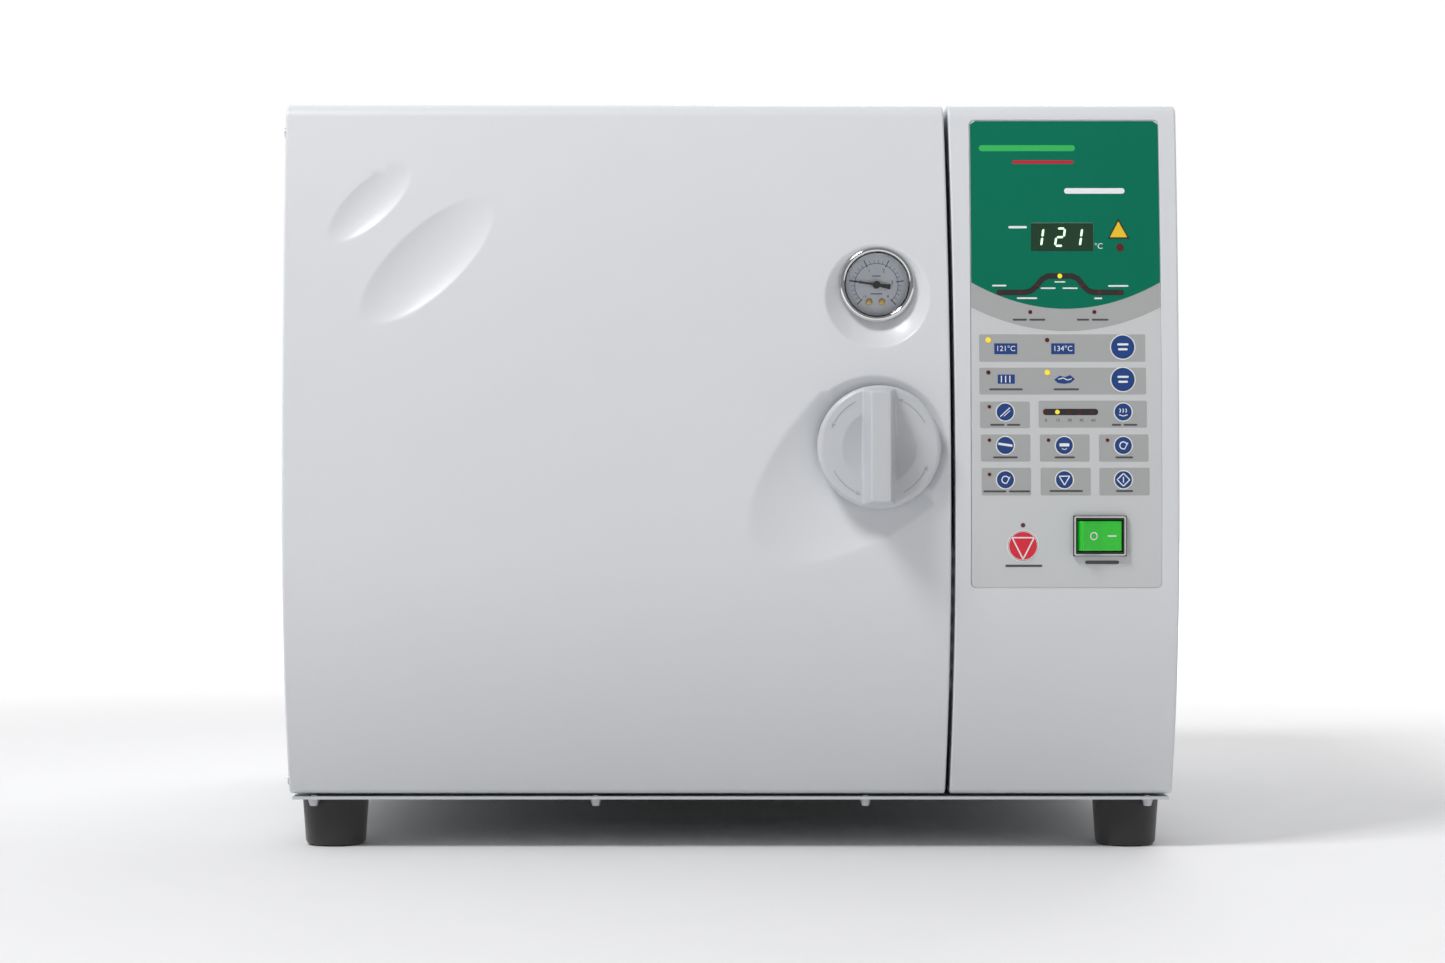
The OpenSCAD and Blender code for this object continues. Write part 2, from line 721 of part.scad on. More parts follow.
module condenser() {
    color("peru") {
        for (i = [0:23]) box([fan_x - 57.5 + 5*i, fan_x - 56.5 + 5*i], [fan_y - 34, fan_y - 4],
            [fan_z - 58, fan_z + 58]);
        for (j = [-2:2]) rod_x(fan_y - 19, fan_z + 22*j, 4, fan_x - 66, fan_x + 66);
    }
}

module fan_frame() {
    color([0.1, 0.1, 0.1]) translate([fan_x, fan_y, fan_z]) {
        difference() {
            rotate([-90, 0, 0]) linear_extrude(25)
                rounded_rect([-fan_size/2, fan_size/2], [-fan_size/2, fan_size/2], 6);
            rod_y(0, 0, 57, -1, 30);
            for (x = [-52.5, 52.5]) for (z = [-52.5, 52.5]) rod_y(x, z, 2.2, -1, 30);
        }
        rod_y(0, 0, 19, 20, 24.5);
        for (a = [30:120:389]) rotate([0, a, 0]) box([15, 58.5], [21, 24], [-3, 3]);
    }
}

module fan_rotor() {
    color([0.12, 0.12, 0.12]) translate([fan_x, fan_y, fan_z]) {
        rod_y(0, 0, 20, 3, 19.5);
        for (a = [0:360/7:359]) rotate([0, a, 0]) translate([37, 11.5, 0]) rotate([32, 0, 0])
            cube([36, 1.8, 24], center = true);
    }
}

module solenoid_valves() {
    color("goldenrod") for (x = [-35, 5, 45]) {
        box([x - 14, x + 14], [215, 245], [foot_h + 2, foot_h + 26]);
        rod_z(x, 230, 12, foot_h + 26, foot_h + 64);
        rod_y(x, foot_h + 14, 5, 200, 215);
    }
}

module safety_valve() {
    color("goldenrod") {
        difference() {
            union() {
                rod_y(safety_x, safety_z, 7.6, rear - 14, rear);
                translate([safety_x, rear, safety_z]) rotate([-90, 0, 0]) cylinder(r = 12, h = 5, $fn = 6);
                rod_y(safety_x, safety_z, 8, rear + 5, rear + 11);
            }
            rod_y(safety_x, safety_z, 2.1, rear - 4, rear + 20);
        }
    }
}

module safety_ring() {
    color("silver") {
        rod_y(safety_x, safety_z, 2, rear - 1, rear + 14.5);
        translate([safety_x, rear + 21.5, safety_z]) rotate_extrude() translate([7, 0]) circle(1.5, $fn = 24);
    }
}

module drain_valve() {
    color("goldenrod") {
        rod_y(drain_x, drain_z, 7.6, rear - 12, rear);
        rod_y(drain_x, drain_z, 13, rear, rear + 3);
        rod_y(drain_x, drain_z, 9, rear + 3, rear + 22);
        rod_y(drain_x, drain_z, 5, rear + 22, rear + reach);
        difference() {
            rod_z(drain_x, drain_y, 5, drain_z, drain_z + 13);
            rod_z(drain_x, drain_y, 2.05, drain_z + 10, drain_z + 14);
        }
    }
}

module drain_lever() {
    color("crimson") {
        rod_z(drain_x, drain_y, 2, drain_z + 10.3, drain_z + 14);
        rod_z(drain_x, drain_y, 6, drain_z + 13.3, drain_z + 19);
        box([drain_x - 13.5, drain_x + 13.5], [drain_y - 3, drain_y + 3], [drain_z + 14, drain_z + 19]);
    }
}

module air_filter() {
    color("white") {
        rod_y(filter_x, filter_z, 5, rear - 12, rear + 2);
        rod_y(filter_x, filter_z, 18, rear + 2, rear + 7, 28);
        rod_y(filter_x, filter_z, 30, rear + 7, rear + 13);
        rod_y(filter_x, filter_z, 28, rear + 13, rear + 20, 16);
        rod_y(filter_x, filter_z, 4, rear + 20, rear + 28);
    }
}

module power_inlet() {
    color([0.07, 0.07, 0.07]) {
        difference() {
            union() {
                box([inlet_x - 25, inlet_x + 25], [rear, rear + 2.5], [inlet_z - 15, inlet_z + 15]);
                box([inlet_x - 15.5, inlet_x + 15.5], [rear - 28, rear], [inlet_z - 11.5, inlet_z + 11.5]);
            }
            box([inlet_x - 12.5, inlet_x + 12.5], [rear - 16, rear + 5], [inlet_z - 9, inlet_z + 9]);
            for (s = [-1, 1]) rod_y(inlet_x + 20*s, inlet_z, 1.7, rear - 1, rear + 5);
        }
        for (p = [[-7, -2.5], [0, 2.5], [7, -2.5]]) box([inlet_x + p[0] - 1, inlet_x + p[0] + 1],
            [rear - 16.5, rear - 4], [inlet_z + p[1] - 2, inlet_z + p[1] + 2]);
    }
}

STEAM_ROUTE = [[-65, 198, 245], [-65, 206, 245], [-62, 212, 247], [-54, 215, 252], [-40, 216, 262],
    [-10, 216, 282], [14, 217, 294], [30, 221, 299], [38, 230, 300], [40, 242, 300], [40, 266, 300]];
DRAIN_ROUTE = [[-65, 198, 217], [-65, 204, 217], [-67, 209, 215], [-76, 211, 212], [-120, 211, 214],
    [-170, 211, 214], [-190, 211, 208], [-198, 211, 195], [-200, 211, 180], [-200, 211, 82],
    [-200, 214, 70], [-200, 222, 63], [-200, 234, 62], [-200, 268, 62]];

module pipework() {
    color("chocolate") {
        sweep(STEAM_ROUTE, 4);
        sweep(DRAIN_ROUTE, 4);
    }
}

// ---- Door ----
module door_block(inset, y_back) {
    difference() {
        intersection() {
            along_x(-half_w + inset, seam_x) front_outline(inset, y_back, door_low + inset, body_top - inset);
            seam_side(seam_x - seam_gap/2 - inset);
        }
        edge_rounding(inset, -half_w - 1, seam_x + 1);
    }
}

module plan_corner(r) {
    box([-half_w - 1, seam_x], [front - 5, hinge_y], [0, body_top + 5]);
    rod_z(hinge_x, hinge_y, r, 0, body_top + 5);
    box([hinge_x, seam_x], [hinge_y - 1, hinge_y + r], [0, body_top + 5]);
}

module door_hollows(grow) {
    on_front(-206, 370.5) leaf(62, 23.5, 2.8, 44, grow);
    on_front(-173, 337) leaf(101, 38, 4.4, 44.5, grow);
    on_front(gauge_x, gauge_z - gauge_dish_drop) dish(gauge_dish_r, 12, grow);
    on_front(knob_x, knob_z) dish(43.5, 14, grow);
    intersection() {
        on_front(45, 203) translate([55.8, 0, 46]) leaf(233, 95.6, 10, 43.6, grow);
        translate([knob_x, front, knob_z]) rotate([0, 45, 0]) box([-200, 200], [-200, 100], [-200, 0]);
    }
}

module door_cover() {
    color("white") difference() {
        intersection() {
            door_block(0, door_back);
            plan_corner(corner_r);
        }
        difference() {
            intersection() {
                door_block(shell, door_back + 1);
                union() {
                    plan_corner(corner_r - shell);
                    box([hinge_x + 2, seam_x], [hinge_y, door_back + 1], [0, body_top]);
                }
            }
            door_hollows(shell);
            for (p = DOOR_POSTS) rod_y(p[0], p[1], 5, front, door_back - shell);
        }
        door_hollows(0);
        rod_y(knob_x, knob_z, 13, front, door_back);
        rod_y(gauge_x, gauge_z, gauge_case_r + 0.4, front, door_back);
        rod_y(gauge_x, gauge_z, gauge_bezel_r + slack, front - 5, gauge_front + 4 + slack);
        for (p = DOOR_POSTS) rod_y(p[0], p[1], 1.5, door_back - shell - 12, door_back);
        box([-half_w - 1, hinge_x + 14], [hinge_y - 18, door_back + 1],
            [chamber_z - hinge_gap_h/2, chamber_z + hinge_gap_h/2]);
        for (z = SIDE_SCREWS) rod_x(SIDE_SCREW_Y(z), z, 2, -half_w - 1, -half_w + 5);
    }
}

DOOR_POSTS = [[-225, 60], [105, 60], [-225, 400], [105, 385]];
SIDE_SCREWS = [door_low + 8, body_top - 16];
function SIDE_SCREW_Y(z) = front_y(z) + 9;

module door_liner() {
    color("white") difference() {
        intersection() {
            box([hinge_x + 2 + slack, seam_x], [door_back - shell, door_back],
                [door_low + shell + slack, body_top - shell - slack]);
            seam_side(seam_x - seam_gap/2 - shell - slack);
        }
        rod_y(chamber_x, chamber_z, plate_r + 1.5, door_back - 10, door_back + 1);
        box([knob_x - slot_w/2 - 4, knob_x + slot_w/2 + 4], [door_back - 10, door_back + 1],
            [knob_z - slot_h/2 - 4, knob_z + slot_h/2 + 4]);
        for (p = DOOR_POSTS) rod_y(p[0], p[1], 4.2, door_back - 10, door_back + 1);
        box([hinge_x, hinge_x + 16], [door_back - 10, door_back + 1],
            [chamber_z - hinge_gap_h/2, chamber_z + hinge_gap_h/2]);
    }
}

module door_arm() {
    color("dimgray") difference() {
        union() {
            box([hinge_x, knob_x + 16], [arm_y, arm_y + arm_t], [chamber_z - arm_h/2, chamber_z + arm_h/2]);
            rod_z(hinge_x, hinge_y, lug_r, chamber_z - arm_h/2, chamber_z + arm_h/2);
            box([hinge_x - lug_r, hinge_x + lug_r], [arm_y, hinge_y],
                [chamber_z - arm_h/2, chamber_z + arm_h/2]);
            rod_y(knob_x, knob_z, 18, boss_front, boss_back);
        }
        rod_z(hinge_x, hinge_y, pin_r + 0.05, chamber_z - 80, chamber_z + 80);
        rod_y(knob_x, knob_z, spindle_r + 0.06, front, door_back);
        rod_y(chamber_x, chamber_z, 8, front, door_back);
    }
}

module pressure_plate() {
    color("silver") difference() {
        union() {
            rod_y(chamber_x, chamber_z, plate_r, plate_y, plate_y + plate_t);
            rod_y(chamber_x, chamber_z, 22, arm_y + arm_t, plate_y);
            rod_y(chamber_x, chamber_z, 7.5, arm_y - 9, plate_y);
            rod_y(chamber_x + 60, chamber_z + 66, 5, plate_y - 12, plate_y + 6);
            rod_x(plate_y - 8, chamber_z + 66, 3, chamber_x + 60, chamber_x + 72);
        }
        difference() {
            rod_y(chamber_x, chamber_z, 104, plate_y - 1, plate_y + 7);
            rod_y(chamber_x, chamber_z, 24, plate_y - 2, plate_y + 8);
            rod_y(chamber_x + 60, chamber_z + 66, 5, plate_y - 12, plate_y + 8);
            rod_x(plate_y - 8, chamber_z + 66, 3, chamber_x + 60, chamber_x + 72);
            rod_y(chamber_x, chamber_z, 22, plate_y - 3, plate_y + 1);
        }
        difference() {
            rod_y(chamber_x, chamber_z, gasket_ro, plate_y + plate_t - 4.5, plate_y + plate_t + 1);
            rod_y(chamber_x, chamber_z, gasket_ri, plate_y + plate_t - 6, plate_y + plate_t + 2);
        }
    }
}

module door_gasket() {
    color("ivory") around_chamber()
        tube_outline(gasket_ri, gasket_ro, plate_y + plate_t - 4.5, flange_y - slack);
}

module door_fasteners() {
    color("gray") {
        for (p = DOOR_POSTS) {
            rod_y(p[0], p[1], 1.45, door_back - 13, door_back - 2.5);
            rod_y(p[0], p[1], 4, door_back - shell, door_back - 0.5);
        }
        for (z = SIDE_SCREWS) {
            rod_x(SIDE_SCREW_Y(z), z, 1.9, -half_w - 1, -half_w + 8);
            rod_x(SIDE_SCREW_Y(z), z, 3, -half_w - 1.2, -half_w);
        }
        difference() {
            translate([chamber_x, arm_y - 7, chamber_z]) rotate([-90, 0, 0]) cylinder(r = 14, h = 7, $fn = 6);
            rod_y(chamber_x, chamber_z, 7.5, arm_y - 10, arm_y + 2);
        }
    }
}

// ---- Gauge ----
module gauge_case() {
    color("silver") difference() {
        union() {
            rod_y(gauge_x, gauge_z, gauge_bezel_r, gauge_front, gauge_front + 4);
            rod_y(gauge_x, gauge_z, gauge_case_r, gauge_front + 4, gauge_front + 30);
            rod_x(gauge_front + 22, gauge_z, 3, gauge_x - gauge_case_r - 9, gauge_x - gauge_case_r + 2);
        }
        rod_y(gauge_x, gauge_z, gauge_window_r, gauge_front - 1, gauge_front + 5);
        rod_y(gauge_x, gauge_z, gauge_case_r - 1, gauge_front + 2.5, gauge_front + 28.5);
    }
}

module gauge_dial() {
    color("aliceblue") difference() {
        rod_y(gauge_x, gauge_z, gauge_case_r - 1.2, gauge_front + 9, gauge_front + 9.6);
        rod_y(gauge_x, gauge_z, 1, gauge_front, gauge_front + 12);
    }
}

module gauge_lens() {
    color([0.9, 0.95, 1, 0.3])
        rod_y(gauge_x, gauge_z, gauge_case_r - 1.1, gauge_front + 2.5, gauge_front + 4);
}

module gauge_pointer() {
    color([0.06, 0.06, 0.07]) translate([gauge_x, gauge_front, gauge_z]) {
        rod_y(0, 0, 2.2, 5.5, 8);
        rod_y(0, 0, 0.7, 7.5, 14);
        rotate([0, -gauge_zero, 0]) along_y(6, 7) polygon([[-8, -1.4], [-8, 1.4], [0, 0.7],
            [pointer_tip, 0.2], [pointer_tip, -0.2], [0, -0.7]]);
    }
}

GAUGE_ROUTE = [[54.25, -250.5, 324], [48, -250.5, 324], [40, -250.5, 323], [30, -250, 319], [22, -249, 310],
    [17, -248.3, 303], [13, -248, 298.5], [10, -248, 297], [7.2, -248, 297]];

module gauge_tube() {
    color([0.85, 0.87, 0.9]) sweep(GAUGE_ROUTE, 3);
}

// ---- Knob and latch ----
module knob() {
    body_r = knob_r;
    color("whitesmoke") difference() {
        union() {
            translate([knob_x, 0, knob_z]) rotate([-90, 0, 0]) rotate_extrude() difference() {
                union() {
                    translate([0, knob_face]) square([body_r - 3, knob_back - knob_face]);
                    translate([0, knob_face + 3]) square([body_r, knob_back - knob_face - 6]);
                    for (y = [knob_face + 3, knob_back - 3]) translate([body_r - 3, y]) circle(3, $fn = 32);
                }
                translate([0, knob_face - 61.5]) circle(65);
            }
            intersection() {
                along_z(knob_z - knob_r, knob_z + knob_r) translate([knob_x, 0]) polygon([
                    [-grip_w/2, knob_back - 4], [-grip_w/2, knob_face + 2],
                    [-grip_w/2 + 3.4, front - reach], [grip_w/2 - 3.4, front - reach],
                    [grip_w/2, knob_face + 2], [grip_w/2, knob_back - 4]]);
                rod_y(knob_x, knob_z, knob_r - 4, front - reach - 1, knob_face + 4, knob_r - 0.6);
            }
            rod_y(knob_x, knob_z, 12, knob_back - 2, boss_front - 0.6);
        }
        rod_y(knob_x, knob_z, spindle_r, front - 12, front + 60);
    }
}

module along_z(z0, z1) {
    translate([0, 0, z0]) linear_extrude(z1 - z0) children();
}

module latch_spindle() {
    color("gray") {
        rod_y(knob_x, knob_z, spindle_r, front - 12, latch_y + latch_t);
        rod_y(knob_x, knob_z, 11, boss_back + 0.4, boss_back + 5);
        box([knob_x - latch_w/2, knob_x + latch_w/2], [latch_y, latch_y + latch_t],
            [knob_z - latch_h/2, knob_z + latch_h/2]);
    }
}

base_chassis();
rubber_feet();
chassis_screws();
outer_casing();
rear_panel();
front_fascia();
console_housing();
keypad_overlay();
display_window();
indicator_lamps();
switch_frame();
control_board();
chamber_vessel();
chamber_flange();
insulation_jacket();
heater_bands();
tray_rack();
trays();
water_tank();
power_supply();
vacuum_pump();
condenser();
fan_frame();
solenoid_valves();
safety_valve();
drain_valve();
air_filter();
power_inlet();
pipework();
hinge_bracket();
hinge_pin();
door_cover();
door_liner();
door_arm();
pressure_plate();
door_gasket();
door_fasteners();
gauge_case();
gauge_dial();
gauge_lens();
gauge_tube();
knob();
latch_spindle();
gauge_pointer();
power_rocker();
fan_rotor();
filler_lid();
safety_ring();
drain_lever();
key(0);  // key_temperature
key(1);  // key_load
key(2);  // key_pump_test
key(3);  // key_dry_time
key(4);  // key_steam_test
key(5);  // key_redry
key(6);  // key_long_cycle
key(7);  // key_vacuum_release
key(8);  // key_stop
key(9);  // key_start
key(10);  // key_emergency
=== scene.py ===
import math
import bpy
import numpy as np
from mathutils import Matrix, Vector
from mathutils.geometry import tessellate_polygon


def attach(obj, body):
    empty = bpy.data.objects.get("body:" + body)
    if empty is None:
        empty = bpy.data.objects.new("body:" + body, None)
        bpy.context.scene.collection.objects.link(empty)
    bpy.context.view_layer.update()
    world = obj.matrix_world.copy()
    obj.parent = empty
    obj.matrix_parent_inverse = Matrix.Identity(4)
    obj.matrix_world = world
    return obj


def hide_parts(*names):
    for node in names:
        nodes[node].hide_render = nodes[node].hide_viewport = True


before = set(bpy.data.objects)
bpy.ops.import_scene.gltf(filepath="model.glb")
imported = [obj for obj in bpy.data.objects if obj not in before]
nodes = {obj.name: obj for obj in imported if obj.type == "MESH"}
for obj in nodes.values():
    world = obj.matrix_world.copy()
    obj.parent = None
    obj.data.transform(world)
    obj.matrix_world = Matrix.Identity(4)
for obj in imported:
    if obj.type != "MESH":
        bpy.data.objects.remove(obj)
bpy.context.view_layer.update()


# ---------- materials ----------
def material(name, color, rough=0.5, metal=0.0, vary=0.04, grain=300.0, bump=0.3, depth=0.00003,
             stretch=(1, 1, 1), coat=0.0, emit=0.0, alpha=1.0, sheen=0.0, trans=0.0, wear=0.0):
    m = bpy.data.materials.new(name)
    m.use_nodes = True
    nt = m.node_tree
    b = nt.nodes["Principled BSDF"]
    co = nt.nodes.new("ShaderNodeTexCoord")
    mp = nt.nodes.new("ShaderNodeMapping")
    mp.inputs["Scale"].default_value = stretch
    nt.links.new(co.outputs["Object"], mp.inputs["Vector"])
    fine = nt.nodes.new("ShaderNodeTexNoise")
    fine.inputs["Scale"].default_value = grain
    fine.inputs["Detail"].default_value = 4
    nt.links.new(mp.outputs["Vector"], fine.inputs["Vector"])
    broad = nt.nodes.new("ShaderNodeTexNoise")
    broad.inputs["Scale"].default_value = 7.0
    broad.inputs["Detail"].default_value = 3
    nt.links.new(co.outputs["Object"], broad.inputs["Vector"])
    mixn = nt.nodes.new("ShaderNodeMath")
    mixn.operation = "MULTIPLY_ADD"
    nt.links.new(fine.outputs["Fac"], mixn.inputs[0])
    mixn.inputs[1].default_value = 0.4
    nt.links.new(broad.outputs["Fac"], mixn.inputs[2])
    ramp = nt.nodes.new("ShaderNodeValToRGB")
    ramp.color_ramp.elements[0].position = 0.4
    ramp.color_ramp.elements[1].position = 1.0
    c = color[:3]
    ramp.color_ramp.elements[0].color = (*[x * (1 - vary) for x in c], 1)
    ramp.color_ramp.elements[1].color = (*[min(1, x * (1 + vary)) for x in c], 1)
    nt.links.new(mixn.outputs[0], ramp.inputs[0])
    out = ramp.outputs[0]
    if wear:
        geo = nt.nodes.new("ShaderNodeNewGeometry")
        wr = nt.nodes.new("ShaderNodeValToRGB")
        wr.color_ramp.elements[0].position = 0.53
        wr.color_ramp.elements[0].color = (0, 0, 0, 1)
        wr.color_ramp.elements[1].position = 0.62
        wr.color_ramp.elements[1].color = (wear, wear, wear, 1)
        nt.links.new(geo.outputs["Pointiness"], wr.inputs[0])
        mx = nt.nodes.new("ShaderNodeMix")
        mx.data_type = "RGBA"
        nt.links.new(wr.outputs[0], mx.inputs[0])
        nt.links.new(out, mx.inputs[6])
        mx.inputs[7].default_value = (*[min(1, x * 1.6 + 0.08) for x in c], 1)
        out = mx.outputs[2]
    nt.links.new(out, b.inputs["Base Color"])
    rr = nt.nodes.new("ShaderNodeMapRange")
    rr.inputs["To Min"].default_value = max(0.02, rough * 0.85)
    rr.inputs["To Max"].default_value = min(1.0, rough * 1.15)
    nt.links.new(fine.outputs["Fac"], rr.inputs["Value"])
    nt.links.new(rr.outputs[0], b.inputs["Roughness"])
    bp = nt.nodes.new("ShaderNodeBump")
    bp.inputs["Strength"].default_value = bump
    bp.inputs["Distance"].default_value = depth
    nt.links.new(fine.outputs["Fac"], bp.inputs["Height"])
    nt.links.new(bp.outputs[0], b.inputs["Normal"])
    b.inputs["Metallic"].default_value = metal
    b.inputs["Coat Weight"].default_value = coat
    b.inputs["Coat Roughness"].default_value = 0.15
    b.inputs["Alpha"].default_value = alpha
    b.inputs["Transmission Weight"].default_value = trans
    b.inputs["Sheen Weight"].default_value = sheen
    if emit:
        nt.links.new(out, b.inputs["Emission Color"])
        b.inputs["Emission Strength"].default_value = emit
    return m


M = {
    "white_cover": material("white_cover", (0.70, 0.715, 0.74), 0.38, vary=0.012, grain=900, bump=0.25,
                            depth=0.00002, coat=0.12),
    "white_casing": material("white_casing", (0.68, 0.695, 0.72), 0.5, vary=0.02, grain=700, bump=0.6, depth=0.00005),
    "grey_chassis": material("grey_chassis", (0.50, 0.52, 0.53), 0.55, vary=0.05, grain=700, bump=0.6,
                             depth=0.00005, wear=0.3),
    "black_iron": material("black_iron", (0.035, 0.037, 0.04), 0.6, vary=0.2, grain=420, bump=0.9,
                           depth=0.0002, wear=0.4),
    "rubber_black": material("rubber_black", (0.028, 0.026, 0.026), 0.7, vary=0.2, grain=900, bump=0.6,
                             depth=0.00006, sheen=0.3),
    "zinc_screw": material("zinc_screw", (0.45, 0.46, 0.48), 0.32, 1.0, 0.1, 500, 0.3, wear=0.3),
    "stainless": material("stainless", (0.58, 0.59, 0.6), 0.3, 1.0, 0.06, 160, 0.35, 0.00003, (1, 22, 1)),
    "polished_steel": material("polished_steel", (0.66, 0.67, 0.68), 0.16, 1.0, 0.05, 120, 0.15, 0.00002, (1, 1, 14)),
    "mineral_wool": material("mineral_wool", (0.55, 0.5, 0.36), 0.95, vary=0.25, grain=260, bump=1.0,
                             depth=0.0012, stretch=(1, 5, 1), sheen=0.4),
    "heater_foil": material("heater_foil", (0.6, 0.61, 0.62), 0.25, 1.0, 0.1, 90, 0.8, 0.0003),
    "tray_aluminium": material("tray_aluminium", (0.7, 0.71, 0.73), 0.35, 1.0, 0.05, 220, 0.3, 0.00003, (1, 18, 1)),
    "tank_plastic": material("tank_plastic", (0.78, 0.82, 0.84), 0.42, vary=0.03, grain=400, trans=0.25),
    "overlay_film": material("overlay_film", (0.60, 0.615, 0.62), 0.48, vary=0.01, grain=1600, bump=0.35,
                             depth=0.00002),
    "display_filter": material("display_filter", (0.004, 0.035, 0.012), 0.12, vary=0.3, grain=60, coat=0.6,
                               bump=0.05),
    "lamp_red": material("lamp_red", (0.10, 0.005, 0.008), 0.2, vary=0.15, grain=900, coat=0.8),
    "black_plastic": material("black_plastic", (0.012, 0.012, 0.013), 0.42, vary=0.2, grain=1100, bump=0.5,
                              depth=0.00004),
    "board_green": material("board_green", (0.01, 0.12, 0.05), 0.35, vary=0.15, grain=350, coat=0.4),
    "galvanised": material("galvanised", (0.52, 0.53, 0.54), 0.4, 1.0, 0.22, 60, 0.3, wear=0.2),
    "copper_fins": material("copper_fins", (0.62, 0.27, 0.14), 0.35, 1.0, 0.15, 200, 0.3),
    "brass_fitting": material("brass_fitting", (0.62, 0.42, 0.14), 0.28, 1.0, 0.1, 260, 0.3, wear=0.3),
    "filter_white": material("filter_white", (0.76, 0.76, 0.75), 0.45, vary=0.03, grain=800),
    "copper_pipe": material("copper_pipe", (0.63, 0.28, 0.15), 0.28, 1.0, 0.15, 200, 0.3),
    "gasket_silicone": material("gasket_silicone", (0.66, 0.64, 0.57), 0.6, vary=0.05, grain=800, sheen=0.3),
    "chrome_case": material("chrome_case", (0.62, 0.63, 0.64), 0.1, 1.0, 0.04, 400, 0.05),
    "dial_white": material("dial_white", (0.80, 0.84, 0.90), 0.55, vary=0.02, grain=900),
    "hose_silicone": material("hose_silicone", (0.7, 0.72, 0.75), 0.4, vary=0.04, grain=500, trans=0.3),
    "knob_white": material("knob_white", (0.56, 0.575, 0.60), 0.36, vary=0.012, grain=1000, bump=0.25,
                           depth=0.00002, coat=0.15),
    "rocker_green": material("rocker_green", (0.003, 0.42, 0.008), 0.25, vary=0.1, grain=300, coat=0.5, emit=0.25),
    "lever_red": material("lever_red", (0.6, 0.02, 0.02), 0.35, vary=0.06, grain=600),
    "key_blue": material("key_blue", (0.004, 0.045, 0.22), 0.42, vary=0.06, grain=1400, depth=0.00002),
    "key_red": material("key_red", (0.72, 0.012, 0.038), 0.42, vary=0.05, grain=1400, depth=0.00002),
    "ink_white": material("ink_white", (0.85, 0.87, 0.88), 0.5, vary=0.02, grain=1400),
    "ink_black": material("ink_black", (0.015, 0.012, 0.012), 0.5, vary=0.2, grain=1400),
    "ink_dark": material("ink_dark", (0.07, 0.07, 0.075), 0.5, vary=0.2, grain=1400),
    "ink_green": material("ink_green", (0.0012, 0.163, 0.093), 0.75, vary=0.03, grain=1400, depth=0.00002),
    "ink_grey": material("ink_grey", (0.40, 0.405, 0.405), 0.5, vary=0.02, grain=1400),
    "ink_pale_green": material("ink_pale_green", (0.03, 0.47, 0.10), 0.45, vary=0.03, grain=1400),
    "ink_red": material("ink_red", (0.5, 0.01, 0.03), 0.45, vary=0.05, grain=1400),
    "ink_amber": material("ink_amber", (0.85, 0.55, 0.02), 0.45, vary=0.05, grain=1400),
    "ink_blue_grey": material("ink_blue_grey", (0.18, 0.26, 0.42), 0.5, vary=0.05, grain=1400),
    "lit_yellow": material("lit_yellow", (0.75, 0.56, 0.03), 0.3, vary=0.1, grain=500, emit=0.5),
    "digit_glow": material("digit_glow", (0.62, 0.9, 0.62), 0.4, vary=0.04, grain=700, emit=0.7),
}


def glass(name):
    m = bpy.data.materials.new(name)
    m.use_nodes = True
    nt = m.node_tree
    nt.nodes.remove(nt.nodes["Principled BSDF"])
    out = nt.nodes["Material Output"]
    tr = nt.nodes.new("ShaderNodeBsdfTransparent")
    gl = nt.nodes.new("ShaderNodeBsdfGlossy")
    gl.inputs["Roughness"].default_value = 0.04
    fr = nt.nodes.new("ShaderNodeFresnel")
    noise = nt.nodes.new("ShaderNodeTexNoise")
    noise.inputs["Scale"].default_value = 60
    add = nt.nodes.new("ShaderNodeMath")
    add.operation = "MULTIPLY_ADD"
    add.inputs[1].default_value = 0.05
    add.inputs[2].default_value = 1.38
    nt.links.new(noise.outputs["Fac"], add.inputs[0])
    nt.links.new(add.outputs[0], fr.inputs["IOR"])
    mx = nt.nodes.new("ShaderNodeMixShader")
    nt.links.new(fr.outputs[0], mx.inputs[0])
    nt.links.new(tr.outputs[0], mx.inputs[1])
    nt.links.new(gl.outputs[0], mx.inputs[2])
    nt.links.new(mx.outputs[0], out.inputs["Surface"])
    return m


M["clear_lens"] = glass("clear_lens")
M["ink_green"].node_tree.nodes["Principled BSDF"].inputs["Specular IOR Level"].default_value = 0.12

FINISH = {
    "white_casing": ["outer_casing", "rear_panel"],
    "white_cover": ["front_fascia", "console_housing", "door_cover", "door_liner"],
    "grey_chassis": ["base_chassis"], "rubber_black": ["rubber_feet"],
    "zinc_screw": ["chassis_screws", "door_fasteners", "hinge_pin"],
    "black_iron": ["hinge_bracket", "door_arm"], "overlay_film": ["keypad_overlay"],
    "display_filter": ["display_window"], "lamp_red": ["indicator_lamps"],
    "black_plastic": ["switch_frame", "fan_frame", "fan_rotor", "power_inlet", "gauge_pointer", "vacuum_pump"],
    "board_green": ["control_board"], "stainless": ["chamber_vessel", "tray_rack", "pressure_plate", "latch_spindle"],
    "polished_steel": ["chamber_flange", "safety_ring"], "mineral_wool": ["insulation_jacket"],
    "heater_foil": ["heater_bands"], "tray_aluminium": ["trays"], "tank_plastic": ["water_tank"],
    "galvanised": ["power_supply"], "copper_fins": ["condenser"],
    "brass_fitting": ["solenoid_valves", "safety_valve", "drain_valve"], "filter_white": ["air_filter", "filler_lid"],
    "copper_pipe": ["pipework"], "gasket_silicone": ["door_gasket"], "chrome_case": ["gauge_case"],
    "dial_white": ["gauge_dial"], "clear_lens": ["gauge_lens"], "hose_silicone": ["gauge_tube"],
    "knob_white": ["knob"], "rocker_green": ["power_rocker"], "lever_red": ["drain_lever"],
    "key_red": ["key_emergency"],
}
FINISH["key_blue"] = [n for n in nodes if n.startswith("key_") and n != "key_emergency"]
for slot_name, names in FINISH.items():
    for n in names:
        o = nodes[n]
        if not o.material_slots:
            o.data.materials.append(M[slot_name])
        for s in o.material_slots:
            s.material = M[slot_name]


